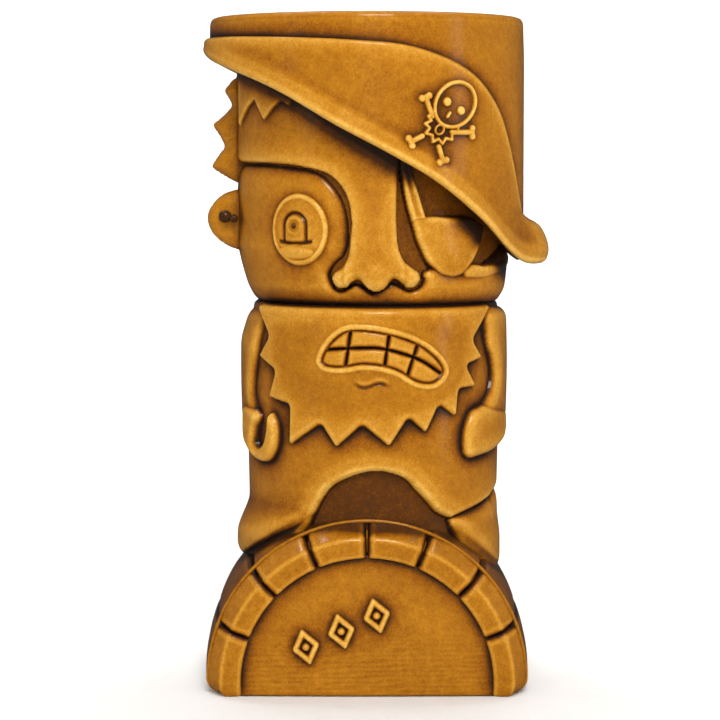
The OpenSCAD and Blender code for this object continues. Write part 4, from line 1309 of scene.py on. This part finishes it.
def glaze(name, depth):
    """The glaze at a usual depth: 0 is bare and pale, 1 is a nearly black pool."""
    made = bpy.data.materials.new(name)
    made.use_nodes = True
    tree = made.node_tree
    shader = tree.nodes["Principled BSDF"]
    shared = tree.nodes.new("ShaderNodeGroup")
    shared.node_tree = glaze_and_painted_shade
    shared.inputs["Depth"].default_value = depth
    bump = node(tree, "ShaderNodeBump", Strength=0.35, Distance=0.0004)
    tree.links.new(shared.outputs["Height"], bump.inputs["Height"])
    tree.links.new(shared.outputs["Colour"], shader.inputs["Base Color"])
    tree.links.new(shared.outputs["Roughness"], shader.inputs["Roughness"])
    tree.links.new(bump.outputs["Normal"], shader.inputs["Normal"])
    for key, value in (("Specular IOR Level", 0.15), ("Specular Tint", (1.0, 0.72, 0.34, 1)),
                       ("Coat Weight", 0.7), ("Coat Roughness", 0.14), ("Coat IOR", 1.36)):
        shader.inputs[key].default_value = value
    return made


# dark_glaze: a deeper glaze, partly painted shade where it lies on the recessed pot and head walls
finishes = {name: glaze(name, depth)
            for name, depth in (("honey_glaze", 0.40), ("dark_glaze", 0.54), ("thin_glaze", 0.34))}
for piece in glazed:
    piece.data.materials.clear()
    piece.data.materials.append(finishes[piece["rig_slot"]])
# these two stand inside the mug as they were built
for name in ("base_floor", "barrel_core"):
    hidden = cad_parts[name]
    hidden.data.materials.clear()
    hidden.data.materials.append(finishes["honey_glaze"])

# ---------------------------------------------------------------- floor, light and camera
# The mug stands in a wide round bowl of white paper. A key lamp hangs high in front, a weak fill is by
# the camera, tall panels stand at both sides, and two lamps above light the table and the paper behind.

floor_bm = bmesh.new()
FLAT_R = 0.9        # metres of flat paper
BEND_R = 0.5        # and the bend up to its wall
bend = [[FLAT_R + BEND_R * math.sin(a), BEND_R - BEND_R * math.cos(a)]
        for a in np.linspace(0.1, math.pi / 2, 14)]
profile = [[0, 0], [FLAT_R, 0]] + bend + [[1.4, 2.5]]
sweep = [floor_bm.verts.new((0, y, z)) for y, z in profile]
sweep_edges = [floor_bm.edges.new(pair) for pair in zip(sweep, sweep[1:])]
bmesh.ops.spin(floor_bm, geom=sweep + sweep_edges, cent=(0, 0, 0), axis=(0, 0, 1), dvec=(0, 0, 0),
               angle=2 * math.pi, steps=96, use_merge=False)
bmesh.ops.remove_doubles(floor_bm, verts=floor_bm.verts[:], dist=0.0001)
bmesh.ops.recalc_face_normals(floor_bm, faces=floor_bm.faces[:])
floor_mesh = bpy.data.meshes.new("table_top")
floor_bm.to_mesh(floor_mesh)
floor_bm.free()
floor_mesh.polygons.foreach_set("use_smooth", [True] * len(floor_mesh.polygons))
floor = bpy.data.objects.new("table_top", floor_mesh)
bpy.context.scene.collection.objects.link(floor)
pale = bpy.data.materials.new("pale_table")
pale.use_nodes = True
pale_shader = pale.node_tree.nodes["Principled BSDF"]
pale_shader.inputs["Roughness"].default_value = 0.7
paper = node(pale.node_tree, "ShaderNodeTexNoise", Scale=60.0, Detail=2.0)
place = pale.node_tree.nodes.new("ShaderNodeTexCoord").outputs["Object"]
pale.node_tree.links.new(place, paper.inputs["Vector"])
tint = pale.node_tree.nodes.new("ShaderNodeValToRGB")
tint.color_ramp.elements[0].color = (0.86, 0.86, 0.86, 1)
tint.color_ramp.elements[1].color = (0.90, 0.90, 0.90, 1)
pale.node_tree.links.new(paper.outputs[0], tint.inputs[0])
pale.node_tree.links.new(tint.outputs[0], pale_shader.inputs["Base Color"])
floor.data.materials.append(pale)
floor.visible_glossy = False      # a dark room is what the glaze reflects


def lamp(name, place, aim, size, size_y, power, colour=(1, 1, 1)):
    data = bpy.data.lights.new(name, "AREA")
    data.shape = "RECTANGLE"
    data.size, data.size_y, data.energy, data.color = size, size_y, power, colour
    made = bpy.data.objects.new(name, data)
    made.location = place
    made.rotation_euler = (Vector(aim) - Vector(place)).to_track_quat("-Z", "Y").to_euler()
    bpy.context.scene.collection.objects.link(made)
    return made


MUG_MIDDLE = (0, 0, 0.11)
WARM_WHITE = (1.0, 0.97, 0.92)
lamp("key", (0.12, -1.0, 1.0), MUG_MIDDLE, 0.45, 0.45, 11.0, WARM_WHITE)
fill = lamp("fill", (0.05, -1.25, 0.30), MUG_MIDDLE, 0.35, 0.35, 1.6, WARM_WHITE)
fill.visible_glossy = False
lamp("left_panel", (-0.75, -0.55, 0.30), MUG_MIDDLE, 0.16, 0.7, 0.12)
lamp("right_panel", (0.80, -0.35, 0.30), MUG_MIDDLE, 0.16, 0.7, 0.5)
lamp("top", (0.0, -0.25, 1.3), (0, -0.25, 0), 1.4, 1.0, 1.8)
lamp("backdrop_wash", (0.0, 0.45, 1.3), (0, 1.3, 0.3), 1.2, 0.4, 15.0)

world = bpy.data.worlds.new("pale_room")
bpy.context.scene.world = world
world.use_nodes = True
world.node_tree.nodes["Background"].inputs["Color"].default_value = (1, 1, 1, 1)
world.node_tree.nodes["Background"].inputs["Strength"].default_value = 0.05

camera_data = bpy.data.cameras.new("camera")
camera_data.lens = 134.9
camera_data.sensor_width = 36
camera_data.clip_start = 0.05
camera = bpy.data.objects.new("camera", camera_data)
camera.location = (-0.0022, -0.870, 0.1664)
camera.rotation_euler = (math.radians(90 - 4.27), 0, 0)
bpy.context.scene.collection.objects.link(camera)
bpy.context.scene.camera = camera
bpy.context.scene.view_settings.view_transform = "Standard"
